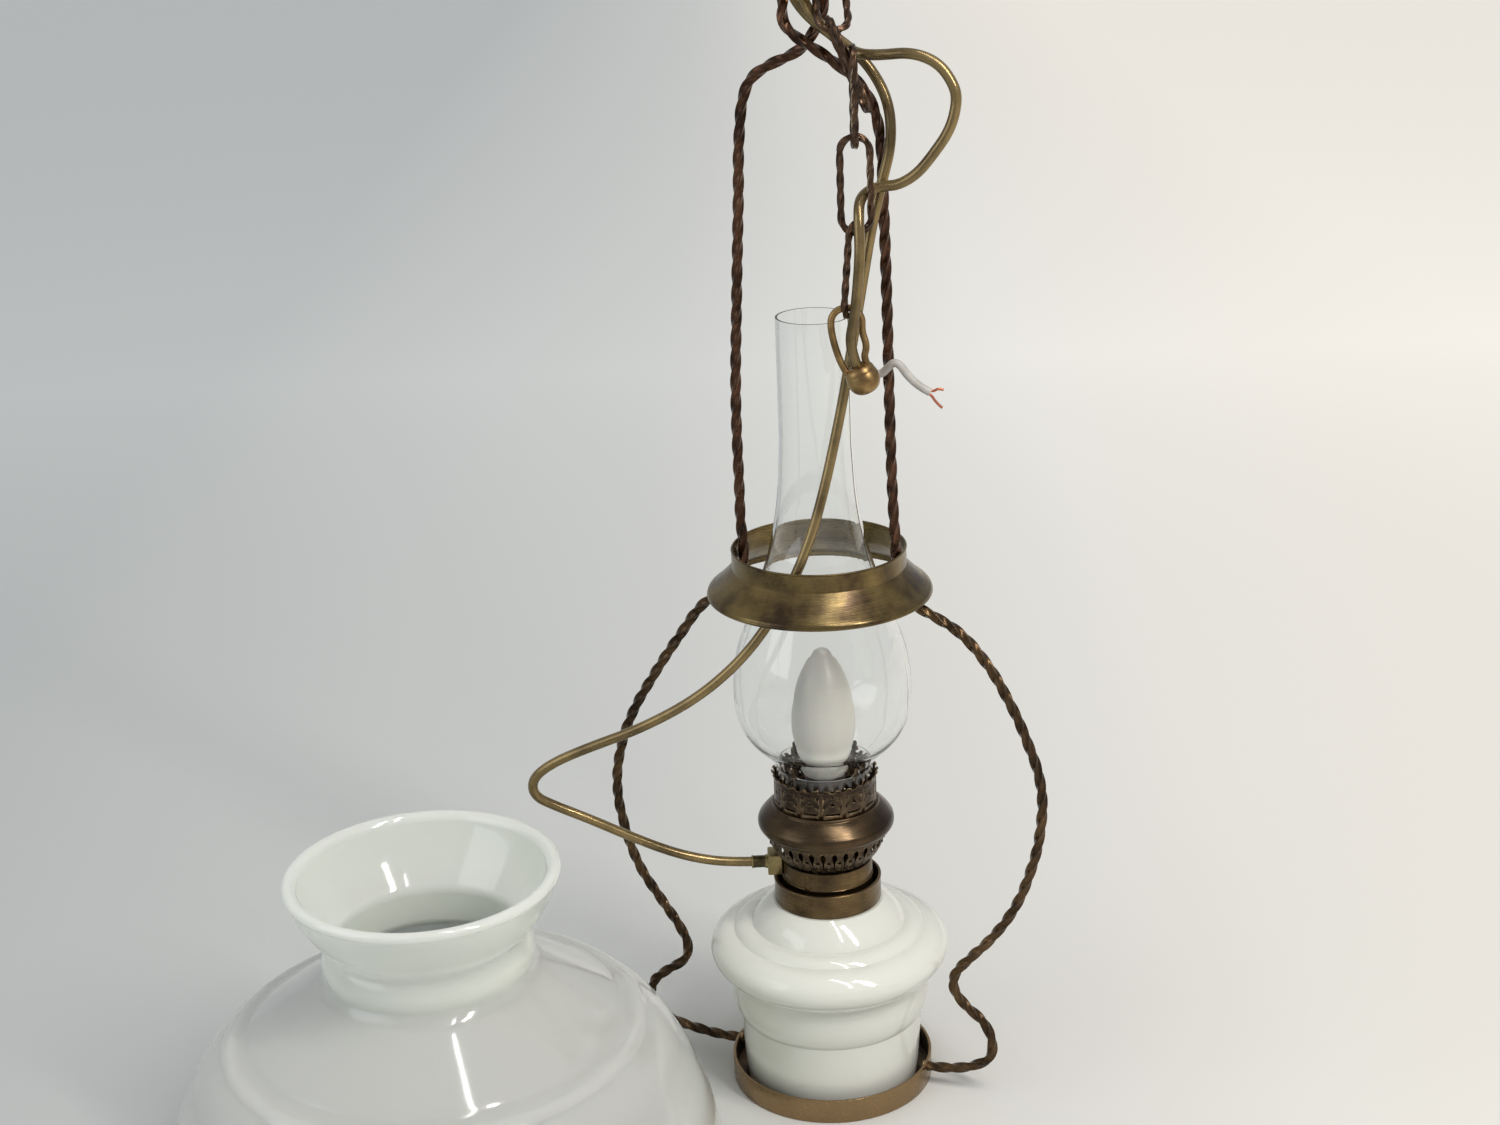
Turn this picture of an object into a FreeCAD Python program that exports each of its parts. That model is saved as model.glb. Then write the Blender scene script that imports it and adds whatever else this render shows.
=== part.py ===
import FreeCAD, Part
import math
import os
import Sketcher
from FreeCAD import Placement, Rotation, Vector

# Old oil harp lamp turned into an electric one: a twisted brass bar frame with a holder ring,
# a milk glass font, a pierced burner with a chimney, a chain laced with a cord, and a glass
# shade that stands beside it. Millimetres, Z up, the origin on the lamp's axis at the floor,
# X across the two arms of the frame.

doc = FreeCAD.newDocument("harp_lamp")
sheet = doc.addObject("Spreadsheet::Sheet", "Sizes")

# Driving dimensions
SIZES = {
    "overcut": 2,
    "seat_gap": 0.25,
    "running_gap": 0.3,
    # holder ring and the rivets that hold the bars on it
    "holder_radius": 57,
    "holder_height": 14,
    "holder_wall": 1.6,
    "holder_lip": 13,
    "holder_lip_thickness": 1.5,
    "foot_share": 0.7857,
    "rivet_radius": 1.5,
    "rivet_head_radius": 2.8,
    "rivet_head_height": 1,
    # milk glass font
    "font_height": 110.5,
    "font_radius": 66.9,
    "font_wall": 3.2,
    "font_neck_radius": 21.5,
    # brass collar and burner
    "collar_radius": 29.8,
    "collar_height": 14,
    "collar_wall": 1,
    "base_radius": 25.2,
    "base_height": 24,
    "base_neck_radius": 21,
    "base_neck_depth": 9,
    "sheet_metal": 0.7,
    "gallery_height": 13,
    "gallery_radius": 32,
    "dome_height": 20,
    "dome_radius": 37.8,
    "holder_gallery_radius": 28.4,
    "holder_gallery_height": 18,
    "crown_radius": 24,
    "crown_band": 14,
    "crown_finger": 34,
    "crown_finger_width": 3,
    "crown_leaf_radius": 2.4,
    # lamp holder and bulb
    "stem_radius": 5,
    "stem_wall": 1,
    "lampholder_radius": 11,
    "lampholder_height": 36,
    "lampholder_wall": 3.6,
    "lampholder_floor": 3,
    "contact_radius": 3.5,
    "contact_height": 9,
    "lamp_foot": 14.5,
    "cap_radius": 6.9,
    "cap_height": 22,
    "cap_tip_radius": 2.4,
    "cap_tip_height": 1.5,
    "thread_pitch": 2.82,
    "thread_depth": 0.5,
    "bulb_radius": 17.5,
    "bulb_height": 74,
    "bulb_wall": 0.8,
    # chimney
    "chimney_height": 274,
    "chimney_radius": 48.2,
    "chimney_wall": 1.2,
    # shade ring
    "ring_top_height": 320,
    "ring_height": 26,
    "ring_collar_radius": 46.6,
    "ring_rim_radius": 60.4,
    "ring_wall": 0.9,
    # twisted square bars of the frame
    "bar_side": 4.2,
    "bar_pitch": 50,
    "eye_top_height": 630,
    "crook_height": 94,
    "harp_width": 125,
    # chain of twisted square links
    "link_side": 3,
    "link_pitch": 42,
    "link_length": 51.5,
    "link_width": 19,
    "link_play": 0.3,
    "chain_right": 21.8,
    "chain_front": 34,
    "chain_drop": 69.4,
    # hook loop and cord grip at the chain's end
    "loop_wire": 3.6,
    "grip_radius": 8.4,
    "grip_height": 15,
    # cable gland and cord
    "cord_radius": 2.7,
    "gland_side": 12,
    "gland_middle": 134.5,
    "gland_length": 9,
    "gland_tube_radius": 3.5,
    "gland_tube_length": 9,
    "lead_radius": 2.1,
    "conductor_radius": 0.7,
    # milk glass shade
    "shade_radius": 150,
    "shade_height": 183,
    "shade_wall": 3.4,
    "shade_neck_radius": 47.6,
    "shade_left": 212,
    "shade_front": 90,
}
for row_number, (alias, size) in enumerate(SIZES.items(), start=1):
    sheet.set(f"A{row_number}", alias)
    sheet.set(f"B{row_number}", str(size))
    sheet.setAlias(f"B{row_number}", alias)
doc.recompute()

VIEW_TURN = 20
FULL_TURN = 360
HALF_TURN = 180
RIGHT_ANGLE = 90
X_AXIS = Vector(1, 0, 0)
Y_AXIS = Vector(0, 1, 0)
Z_AXIS = Vector(0, 0, 1)


def size(expression):
    """Value of an expression in the sheet's aliases."""
    return float(sheet.evalExpression(expression))


def bound(expression):
    """The same expression as another object refers to it."""
    words = []
    for token in expression.replace("(", "( ").replace(")", " )").split():
        words.append("Sizes." + token if token in SIZES else token)
    return " ".join(words)


def attach_sketch(body, name, plane):
    sketch = body.newObject("Sketcher::SketchObject", name)
    role = {"XZ": "XZ_Plane", "XY": "XY_Plane", "YZ": "YZ_Plane"}[plane]
    datum = [item for item in body.Origin.OriginFeatures if item.Role == role][0]
    sketch.AttachmentSupport = [(datum, "")]
    sketch.MapMode = "FlatFace"
    return sketch


def outline(sketch, path):
    """Closed outline of (across, up) corners; an arc's step is (via across, via up, across, up)."""
    ends = [Vector(size(step[-2]), size(step[-1]), 0) for step in path]
    first = sketch.GeometryCount
    count = len(path)
    for number, step in enumerate(path):
        start, end = ends[number - 1], ends[number]
        if len(step) == 2:
            sketch.addGeometry(Part.LineSegment(start, end), False)
        else:
            via = Vector(size(step[0]), size(step[1]), 0)
            if (via - start).cross(end - via).z < 0:
                start, end = end, start
            sketch.addGeometry(Part.Arc(start, via, end), False)
    corners = []
    for number in range(count):
        made = sketch.Geometry[first + number]
        start, end = ends[number - 1], ends[number]
        forward = made.StartPoint.distanceToPoint(start) < made.StartPoint.distanceToPoint(end)
        corners.append((1, 2) if forward else (2, 1))
    rules, formulas = [], []

    def hold(geometry, corner, across, up):
        for kind, expression, axis in (("DistanceX", across, -2), ("DistanceY", up, -1)):
            if expression == "0":
                rules.append(Sketcher.Constraint("PointOnObject", geometry, corner, axis))
            else:
                formulas.append((len(rules), expression))
                rules.append(Sketcher.Constraint(kind, -1, 1, geometry, corner, size(expression)))

    for number, step in enumerate(path):
        before = (number - 1) % count
        rules.append(Sketcher.Constraint(
            "Coincident", first + before, corners[before][1], first + number, corners[number][0]))
        hold(first + number, corners[number][1], step[-2], step[-1])
        if len(step) == 4:
            via = Vector(size(step[0]), size(step[1]), 0)
            point = sketch.addGeometry(Part.Point(via), True)
            rules.append(Sketcher.Constraint("PointOnObject", point, 1, first + number))
            hold(point, 1, step[0], step[1])
    base = sketch.ConstraintCount
    sketch.addConstraint(rules)
    for number, expression in formulas:
        sketch.setExpression(f"Constraints[{base + number}]", bound(expression))


def shares_of(radius, height, table, base="0"):
    """Corners of an outline from shares of a radius and of a height."""
    return [
        tuple(f"{radius} * {share}" if place % 2 == 0 else f"{base} + {height} * {share}"
              for place, share in enumerate(step))
        for step in table
    ]


def turned(label, path):
    """A piece turned, spun or blown round an upright axis."""
    body = doc.addObject("PartDesign::Body", label)
    body.Label = label
    sketch = attach_sketch(body, label + "_outline", "XZ")
    outline(sketch, path)
    revolution = body.newObject("PartDesign::Revolution", label + "_turning")
    revolution.Profile = sketch
    revolution.ReferenceAxis = (sketch, ["V_Axis"])
    revolution.Angle = FULL_TURN
    body.Tip = revolution
    return body


def lift(item, expression):
    """Stand a piece at a height over the floor."""
    item.setExpression("Placement.Base.z", bound(expression))


def punched(body, paths, count, label):
    """Openings punched through the near wall and repeated round the axis."""
    sketch = attach_sketch(body, label + "_shape", "XZ")
    for path in paths:
        outline(sketch, path)
    cut = body.newObject("PartDesign::Pocket", label)
    cut.Profile = sketch
    cut.Type = "ThroughAll"
    doc.recompute()
    pattern = body.newObject("PartDesign::PolarPattern", label + "_round")
    pattern.Originals = [cut]
    z_axis = [item for item in body.Origin.OriginFeatures if item.Role == "Z_Axis"][0]
    pattern.Axis = (z_axis, [""])
    pattern.Angle = FULL_TURN
    pattern.Occurrences = count
    body.Tip = pattern


def seen(right, front, height):
    """Row position of a point given by how far it lies right and in front as the lamp is looked at."""
    turn = Rotation(Z_AXIS, VIEW_TURN)
    return turn.multVec(Vector(right, -front, height))


def feature(label, shape, placement=None):
    item = doc.addObject("Part::Feature", label)
    item.Label = label
    item.Shape = shape
    if placement is not None:
        item.Placement = placement
    return item


def along(edges, count):
    """Places and directions at equal steps along edges that follow each other."""
    lengths = [edge.Length for edge in edges]
    steps = []
    for number in range(count + 1):
        distance = sum(lengths) * number / count
        place = 0
        while place < len(edges) - 1 and distance > lengths[place]:
            distance -= lengths[place]
            place += 1
        at = edges[place].getParameterByLength(min(distance, lengths[place]))
        steps.append((edges[place].valueAt(at), edges[place].tangentAt(at)))
    return steps


# Steps of one full twist, and the share of a twist that the ends are rounded to
TWIST_STEPS = 12
END_TWIST_STEPS = 3


def twisted_bar(edges, side, pitch, upright, loop=False, first=None, last=None):
    """Square bar twisted round its own route, as flat facets."""
    whole = sum(edge.Length for edge in edges)
    count = round(whole / pitch * TWIST_STEPS / END_TWIST_STEPS) * END_TWIST_STEPS
    steps = along(edges, count)
    reach = side / math.sqrt(2)
    rings = []
    for number, (place, course) in enumerate(steps):
        if number == 0 and first is not None:
            course = first
        if number == count and last is not None:
            course = last
        across = upright.cross(course).normalize()
        other = course.cross(across).normalize()
        ring = []
        for corner in range(4):
            turn = math.tau * (number / TWIST_STEPS + corner / 4 + 1 / 8)
            ring.append(place + across * (reach * math.cos(turn)) + other * (reach * math.sin(turn)))
        rings.append(ring)
    if loop:
        shift = count // END_TWIST_STEPS % 4
        rings[-1] = [rings[0][(corner + shift) % 4] for corner in range(4)]
    faces = []
    for near, far in zip(rings[:-1], rings[1:]):
        for corner in range(4):
            after = (corner + 1) % 4
            for points in ((near[corner], near[after], far[corner]), (near[after], far[after], far[corner])):
                faces.append(Part.Face(Part.makePolygon([*points, points[0]])))
    if not loop:
        for ring in (rings[0], rings[-1]):
            faces.append(Part.Face(Part.makePolygon([*ring, ring[0]])))
    shell = Part.makeShell(faces)
    shell.sewShape()
    solid = Part.makeSolid(shell)
    if solid.Volume < 0:
        solid.reverse()
    return solid


def route(shares):
    """Points of a route given as shares of the eye's height."""
    return [Vector(*row) * size("eye_top_height") for row in shares]


def smooth_edge(points):
    curve = Part.BSplineCurve()
    curve.interpolate(Points=points)
    return curve.toShape()


# Share of the shorter of two runs that a bend between them takes up
BEND_SHARE = 0.45


def bent_edges(points):
    """Straight runs joined by arcs that touch them; also the radius of every arc."""
    edges, radii = [], []
    start = points[0]
    for before, corner, after in zip(points[:-2], points[1:-1], points[2:]):
        arrive = (corner - before).normalize()
        leave = (after - corner).normalize()
        half = arrive.getAngle(leave) / 2
        if half < 0.001:
            continue
        setback = BEND_SHARE * min((corner - before).Length, (after - corner).Length)
        radius = setback / math.tan(half)
        radii.append(radius)
        inward = (leave - arrive).normalize()
        middle = corner + inward * (radius / math.cos(half) - radius)
        entry, leaving = corner - arrive * setback, corner + leave * setback
        edges.append(Part.makeLine(start, entry))
        edges.append(Part.Arc(entry, middle, leaving).toShape())
        start = leaving
    edges.append(Part.makeLine(start, points[-1]))
    return edges, radii


def round_piece(label, points, radius):
    """A cord or wire of round section along a route."""
    edges, radii = bent_edges(points)
    path = Part.Wire(edges)
    circle = Part.Wire([Part.makeCircle(radius, points[0], points[1] - points[0])])
    solid = path.makePipeShell([circle], True, True)
    if solid.Volume < 0:
        solid.reverse()
    expected = math.pi * radius ** 2 * path.Length
    print(f"{label}: length {path.Length:.1f} radii {min(radii):.1f} to {max(radii):.0f} "
          f"volume {solid.Volume:.1f} against {expected:.1f} valid {solid.isValid()}")
    return feature(label, solid)


# Holder ring: its wall and the lip that the font stands on
ring_band = turned("ring_band", [
    ("holder_radius", "0"),
    ("holder_radius", "holder_height"),
    ("holder_radius - holder_wall", "holder_height"),
    ("holder_radius - holder_wall", "holder_lip_thickness"),
    ("holder_radius - holder_lip", "holder_lip_thickness"),
    ("holder_radius - holder_lip", "0"),
])

# Milk glass font: foot, banded waist, bulge, two rings on the shoulder and an open neck
font_shares = [
    (0.725, 0), (0.74, 0.077), (0.773, 0.376), (0.787, 0.392),
    (0.829, 0.49, 0.79, 0.59), (0.785, 0.607), (0.9, 0.637, 0.979, 0.69),
    (1, 0.743, 0.968, 0.79), (0.9, 0.826, 0.8, 0.842), (0.73, 0.875, 0.646, 0.878),
    (0.575, 0.94, 0.465, 1),
]
font_inner_shares = [
    (0.46, 0.96), (0.55, 0.92, 0.63, 0.838), (0.7, 0.835, 0.78, 0.805),
    (0.87, 0.79, 0.935, 0.77), (0.955, 0.74, 0.93, 0.7), (0.86, 0.66, 0.745, 0.62),
    (0.74, 0.58), (0.775, 0.49, 0.735, 0.405), (0.72, 0.38), (0.69, 0.09),
]
font = turned("font", [
    ("0", "font_wall"),
    ("holder_radius - holder_lip", "font_wall"),
    ("font_radius * 0.685", "0"),
    *shares_of("font_radius", "font_height", font_shares),
    ("font_neck_radius", "font_height"),
    ("font_neck_radius", "font_height * 0.965"),
    *shares_of("font_radius", "font_height", font_inner_shares),
    ("font_radius * 0.66", "font_wall * 2"),
    ("0", "font_wall * 2"),
])
lift(font, "holder_lip_thickness")

# Brass collar on the font and the burner's base that is screwed into it
FONT_TOP = "holder_lip_thickness + font_height"
font_collar = turned("font_collar", [
    ("base_neck_radius + seat_gap", "0"),
    ("collar_radius - collar_wall", "0"),
    ("collar_radius - collar_wall * 0.3", "collar_wall * 0.3", "collar_radius", "collar_wall"),
    ("collar_radius", "collar_height - collar_wall * 0.5"),
    ("collar_radius - collar_wall * 0.5", "collar_height"),
    ("collar_radius - collar_wall", "collar_height - collar_wall * 0.5"),
    ("collar_radius - collar_wall", "collar_wall"),
    ("base_neck_radius + seat_gap", "collar_wall"),
])
lift(font_collar, FONT_TOP)
burner_base = turned("burner_base", [
    ("stem_radius - stem_wall", "base_neck_depth"),
    ("base_neck_radius - collar_wall", "base_neck_depth"),
    ("base_neck_radius - collar_wall", "0"),
    ("base_neck_radius", "0"),
    ("base_neck_radius", "base_neck_depth"),
    ("base_radius - collar_wall", "base_neck_depth"),
    ("base_radius - collar_wall * 0.3", "base_neck_depth + collar_wall * 0.3", "base_radius", "base_neck_depth + collar_wall"),
    ("base_radius", "base_neck_depth + base_height"),
    ("base_radius - collar_wall", "base_neck_depth + base_height"),
    ("base_radius - collar_wall", "base_neck_depth + collar_wall"),
    ("stem_radius - stem_wall", "base_neck_depth + collar_wall"),
])
lift(burner_base, FONT_TOP + " + collar_wall - base_neck_depth")
BASE_TOP = FONT_TOP + " + collar_wall + base_height"

# Lower gallery: a pierced bowl with arches over dots and a scalloped foot, notched for the gland
gallery_sheet = turned("lower_gallery_sheet", [
    ("base_radius - sheet_metal * 7", "0"),
    ("base_radius + sheet_metal * 0.4", "0"),
    ("base_radius + sheet_metal * 2.5", "gallery_height * 0.4", "gallery_radius", "gallery_height"),
    ("gallery_radius - sheet_metal", "gallery_height"),
    ("base_radius + sheet_metal * 1.5", "gallery_height * 0.4", "base_radius - sheet_metal * 0.6", "sheet_metal"),
    ("base_radius - sheet_metal * 7", "sheet_metal"),
])
gallery_arch = [
    ("gallery_radius * -0.055", "gallery_height * 0.48"),
    ("gallery_radius * 0.055", "gallery_height * 0.48"),
    ("gallery_radius * 0.06", "gallery_height * 0.74"),
    ("0", "gallery_height * 0.9", "gallery_radius * -0.06", "gallery_height * 0.74"),
]
gallery_dot = [
    ("0", "gallery_height * 0.35", "gallery_radius * -0.03", "gallery_height * 0.29"),
    ("0", "gallery_height * 0.23", "gallery_radius * 0.03", "gallery_height * 0.29"),
]
punched(gallery_sheet, [gallery_arch, gallery_dot], 24, "gallery_openings")
gland_window = doc.addObject("Part::Box", "gland_window")
for name, expression in (
    ("Length", "gland_side * 2"), ("Width", "gland_side + seat_gap * 2"), ("Height", "gland_side + seat_gap * 2"),
):
    gland_window.setExpression(name, bound(expression))


def outward(item, radial, middle, width):
    """Stand a piece off the axis on the gland's side, centred on its width."""
    turn = Rotation(Z_AXIS, HALF_TURN + VIEW_TURN)
    item.Placement = Placement(turn.multVec(Vector(size(radial), size(width) * -0.5, size(middle))), turn)


outward(gland_window, "base_radius - collar_wall", "gland_middle - gland_side * 0.5 - seat_gap", "gland_side + seat_gap * 2")
lower_gallery = doc.addObject("Part::Cut", "lower_gallery")
lower_gallery.Label = "lower_gallery"
lift(gallery_sheet, BASE_TOP)
doc.recompute()
lower_gallery.Base = gallery_sheet
lower_gallery.Tool = gland_window

# Burner dome and the straight pierced gallery that carries the chimney
GALLERY_TOP = BASE_TOP + " + gallery_height"
burner_dome = turned("burner_dome", [
    ("gallery_radius - sheet_metal", "0"),
    ("gallery_radius", "0"),
    ("dome_radius * 0.94", "dome_height * 0.12", "dome_radius", "dome_height * 0.33"),
    ("dome_radius", "dome_height * 0.4"),
    ("dome_radius * 0.98", "dome_height * 0.42"),
    ("dome_radius * 0.93", "dome_height * 0.72", "holder_gallery_radius * 1.01", "dome_height * 0.96"),
    ("holder_gallery_radius", "dome_height"),
    ("holder_gallery_radius - sheet_metal", "dome_height"),
    ("holder_gallery_radius - sheet_metal", "dome_height * 0.94"),
    ("dome_radius * 0.91", "dome_height * 0.68", "dome_radius - sheet_metal * 1.6", "dome_height * 0.4"),
    ("dome_radius - sheet_metal * 1.4", "dome_height * 0.33"),
    ("dome_radius * 0.92", "dome_height * 0.16", "gallery_radius - sheet_metal", "dome_height * 0.04"),
])
lift(burner_dome, GALLERY_TOP)
DOME_TOP = GALLERY_TOP + " + dome_height"
chimney_gallery = turned("chimney_gallery", [
    ("crown_radius * 0.75", "0"),
    ("holder_gallery_radius", "0"),
    ("holder_gallery_radius", "holder_gallery_height"),
    ("holder_gallery_radius - sheet_metal", "holder_gallery_height"),
    ("holder_gallery_radius - sheet_metal", "sheet_metal"),
    ("crown_radius * 0.75", "sheet_metal"),
])
gallery_leaf = [
    ("0", "holder_gallery_height * 0.84", "holder_gallery_radius * -0.055", "holder_gallery_height * 0.62"),
    ("0", "holder_gallery_height * 0.42", "holder_gallery_radius * 0.055", "holder_gallery_height * 0.62"),
]
gallery_slit = [
    ("holder_gallery_radius * -0.11", "holder_gallery_height * 0.16"),
    ("holder_gallery_radius * 0.11", "holder_gallery_height * 0.16"),
    ("holder_gallery_radius * 0.11", "holder_gallery_height * 0.21"),
    ("holder_gallery_radius * -0.11", "holder_gallery_height * 0.21"),
]
punched(chimney_gallery, [gallery_leaf, gallery_slit], 14, "leaf_openings")
lift(chimney_gallery, DOME_TOP)

# Crown: a band with four spring fingers that end in three small leaves each
CROWN_FOOT = DOME_TOP + " + sheet_metal"
crown_sheet = turned("crown_sheet", [
    ("crown_radius - sheet_metal", "0"),
    ("crown_radius", "0"),
    ("crown_radius", "crown_finger"),
    ("crown_radius - sheet_metal", "crown_finger"),
])
crown_shapes = []
crown_band = doc.addObject("Part::Cylinder", "crown_band_shape")
crown_band.setExpression("Radius", bound("crown_radius + overcut"))
crown_band.setExpression("Height", bound("crown_band"))
crown_shapes.append(crown_band)
for number in range(4):
    turn = Rotation(Z_AXIS, VIEW_TURN + 30 + RIGHT_ANGLE * number)
    finger = doc.addObject("Part::Box", f"crown_finger_{number}")
    finger.setExpression("Length", bound("crown_radius + overcut"))
    finger.setExpression("Width", bound("crown_finger_width"))
    finger.setExpression("Height", bound("crown_finger - crown_leaf_radius"))
    finger.Placement = Placement(turn.multVec(Vector(0, size("crown_finger_width") / -2, 0)), turn)
    crown_shapes.append(finger)
    for leaf, (across, down) in enumerate(((0, 1), (0.95, 2.5), (-0.95, 2.5))):
        disc = doc.addObject("Part::Cylinder", f"crown_leaf_{number}_{leaf}")
        disc.setExpression("Radius", bound("crown_leaf_radius"))
        disc.setExpression("Height", bound("crown_radius + overcut"))
        disc.Placement = Placement(
            turn.multVec(Vector(0, size("crown_leaf_radius") * across, size("crown_finger") - size("crown_leaf_radius") * down)),
            turn.multiply(Rotation(Y_AXIS, RIGHT_ANGLE)))
        crown_shapes.append(disc)
crown_outline = doc.addObject("Part::MultiFuse", "crown_outline")
crown_outline.Shapes = crown_shapes
burner_crown = doc.addObject("Part::MultiCommon", "burner_crown")
burner_crown.Label = "burner_crown"
burner_crown.Shapes = [crown_sheet, crown_outline]
lift(burner_crown, CROWN_FOOT)

# Lamp holder on its stem, its centre contact, and the bulb with cap and tip
LAMP_FOOT = BASE_TOP + " + lamp_foot"
stem = turned("lampholder_stem", [
    ("stem_radius - stem_wall", "0"),
    ("stem_radius", "0"),
    ("stem_radius", "base_height - collar_wall + lamp_foot"),
    ("stem_radius - stem_wall", "base_height - collar_wall + lamp_foot"),
])
lift(stem, FONT_TOP + " + collar_wall * 2")
lampholder = turned("lampholder", [
    ("stem_radius - stem_wall", "0"),
    ("lampholder_radius - lampholder_wall * 0.4", "0"),
    ("lampholder_radius", "lampholder_floor"),
    ("lampholder_radius", "lampholder_height * 0.48"),
    ("lampholder_radius - lampholder_wall * 0.2", "lampholder_height * 0.5"),
    ("lampholder_radius", "lampholder_height * 0.52"),
    ("lampholder_radius", "lampholder_height"),
    ("lampholder_radius - lampholder_wall", "lampholder_height"),
    ("lampholder_radius - lampholder_wall", "lampholder_floor"),
    ("stem_radius - stem_wall", "lampholder_floor"),
])
lift(lampholder, LAMP_FOOT)
contact = turned("center_contact", [
    ("0", "0"),
    ("contact_radius + stem_wall", "0"),
    ("contact_radius + stem_wall", "contact_height * 0.3"),
    ("contact_radius", "contact_height * 0.3"),
    ("contact_radius", "contact_height - stem_wall"),
    ("contact_radius - stem_wall", "contact_height"),
    ("0", "contact_height"),
])
lift(contact, LAMP_FOOT + " + lampholder_floor")
TIP_FOOT = LAMP_FOOT + " + lampholder_floor + contact_height + running_gap"
bulb_tip = turned("bulb_tip", [
    ("0", "0"),
    ("cap_tip_radius * 0.4", "0"),
    ("cap_tip_radius * 0.85", "cap_tip_height * 0.35", "cap_tip_radius", "cap_tip_height"),
    ("0", "cap_tip_height"),
])
lift(bulb_tip, TIP_FOOT)
CAP_FOOT = TIP_FOOT + " + cap_tip_height"
cap_steps = [("0", "0"), ("cap_tip_radius * 1.2", "0"), ("cap_radius - thread_depth * 2", "cap_height * 0.16")]
for turn_number in range(5):
    foot = f"cap_height * 0.16 + thread_pitch * {turn_number}"
    cap_steps += [
        ("cap_radius - thread_depth", foot + " + thread_pitch * 0.15"),
        ("cap_radius", foot + " + thread_pitch * 0.5", "cap_radius - thread_depth", foot + " + thread_pitch * 0.85"),
        ("cap_radius - thread_depth", f"cap_height * 0.16 + thread_pitch * {turn_number + 1}"),
    ]
bulb_cap = turned("bulb_cap", [*cap_steps, ("cap_radius - thread_depth", "cap_height"), ("0", "cap_height")])
lift(bulb_cap, CAP_FOOT)
bulb_shares = [
    (0.37, 0), (0.44, 0.1), (0.6, 0.2, 0.84, 0.28), (1, 0.4, 0.95, 0.55),
    (0.72, 0.78, 0.25, 0.97), (0.09, 1), (0, 1),
]
bulb_glass = turned("bulb_glass", [
    ("0", "0"),
    *shares_of("bulb_radius", "bulb_height", bulb_shares),
    ("0", "bulb_height - bulb_wall"),
    ("bulb_radius * 0.05", "bulb_height - bulb_wall"),
    ("bulb_radius * 0.24 - bulb_wall * 0.6", "bulb_height * 0.963"),
    ("bulb_radius * 0.7 - bulb_wall", "bulb_height * 0.765", "bulb_radius * 0.945 - bulb_wall", "bulb_height * 0.55"),
    ("bulb_radius - bulb_wall", "bulb_height * 0.4", "bulb_radius * 0.84 - bulb_wall", "bulb_height * 0.29"),
    ("bulb_radius * 0.58 - bulb_wall", "bulb_height * 0.2", "bulb_radius * 0.42 - bulb_wall", "bulb_height * 0.11"),
    ("bulb_radius * 0.37 - bulb_wall", "bulb_wall"),
    ("0", "bulb_wall"),
])
lift(bulb_glass, CAP_FOOT + " + cap_height")

# Clear glass chimney: straight foot, bulge and a long neck
CHIMNEY_FOOT = DOME_TOP + " + sheet_metal + running_gap"
chimney_shares = [
    (0.55, 0), (0.55, 0.084), (0.64, 0.108, 0.79, 0.135), (0.95, 0.18, 1, 0.23),
    (0.975, 0.31, 0.871, 0.372), (0.72, 0.449, 0.597, 0.511), (0.48, 0.6, 0.425, 0.679),
    (0.4, 0.76), (0.4, 1),
]
chimney = turned("chimney", [
    *shares_of("chimney_radius", "chimney_height", chimney_shares),
    *[tuple(f"{word} - chimney_wall" if place % 2 == 0 else word for place, word in enumerate(step))
      for step in [
          ("chimney_radius * 0.4", "chimney_height"), ("chimney_radius * 0.4", "chimney_height * 0.76"),
          ("chimney_radius * 0.425", "chimney_height * 0.679"),
          ("chimney_radius * 0.48", "chimney_height * 0.6", "chimney_radius * 0.597", "chimney_height * 0.511"),
          ("chimney_radius * 0.72", "chimney_height * 0.449", "chimney_radius * 0.871", "chimney_height * 0.372"),
          ("chimney_radius * 0.975", "chimney_height * 0.31", "chimney_radius", "chimney_height * 0.23"),
          ("chimney_radius * 0.95", "chimney_height * 0.18", "chimney_radius * 0.79", "chimney_height * 0.138"),
          ("chimney_radius * 0.64", "chimney_height * 0.111", "chimney_radius * 0.55", "chimney_height * 0.086"),
          ("chimney_radius * 0.55", "0"),
      ]],
])
lift(chimney, CHIMNEY_FOOT)

# Shade ring: collar, flare and rolled bead
shade_ring = turned("shade_ring", [
    ("ring_collar_radius - ring_wall", "ring_height"),
    ("ring_collar_radius - ring_wall", "ring_height * 0.59"),
    ("ring_collar_radius * 1.09", "ring_height * 0.36", "ring_rim_radius - ring_wall * 2.4", "ring_height * 0.11"),
    ("ring_rim_radius - ring_wall * 2.4", "ring_height * 0.03"),
    ("ring_rim_radius - ring_wall * 1.2", "0"),
    ("ring_rim_radius", "ring_height * 0.05", "ring_rim_radius - ring_wall * 0.9", "ring_height * 0.13"),
    ("ring_collar_radius * 1.11", "ring_height * 0.39", "ring_collar_radius", "ring_height * 0.61"),
    ("ring_collar_radius", "ring_height"),
])
lift(shade_ring, "ring_top_height - ring_height")

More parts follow.
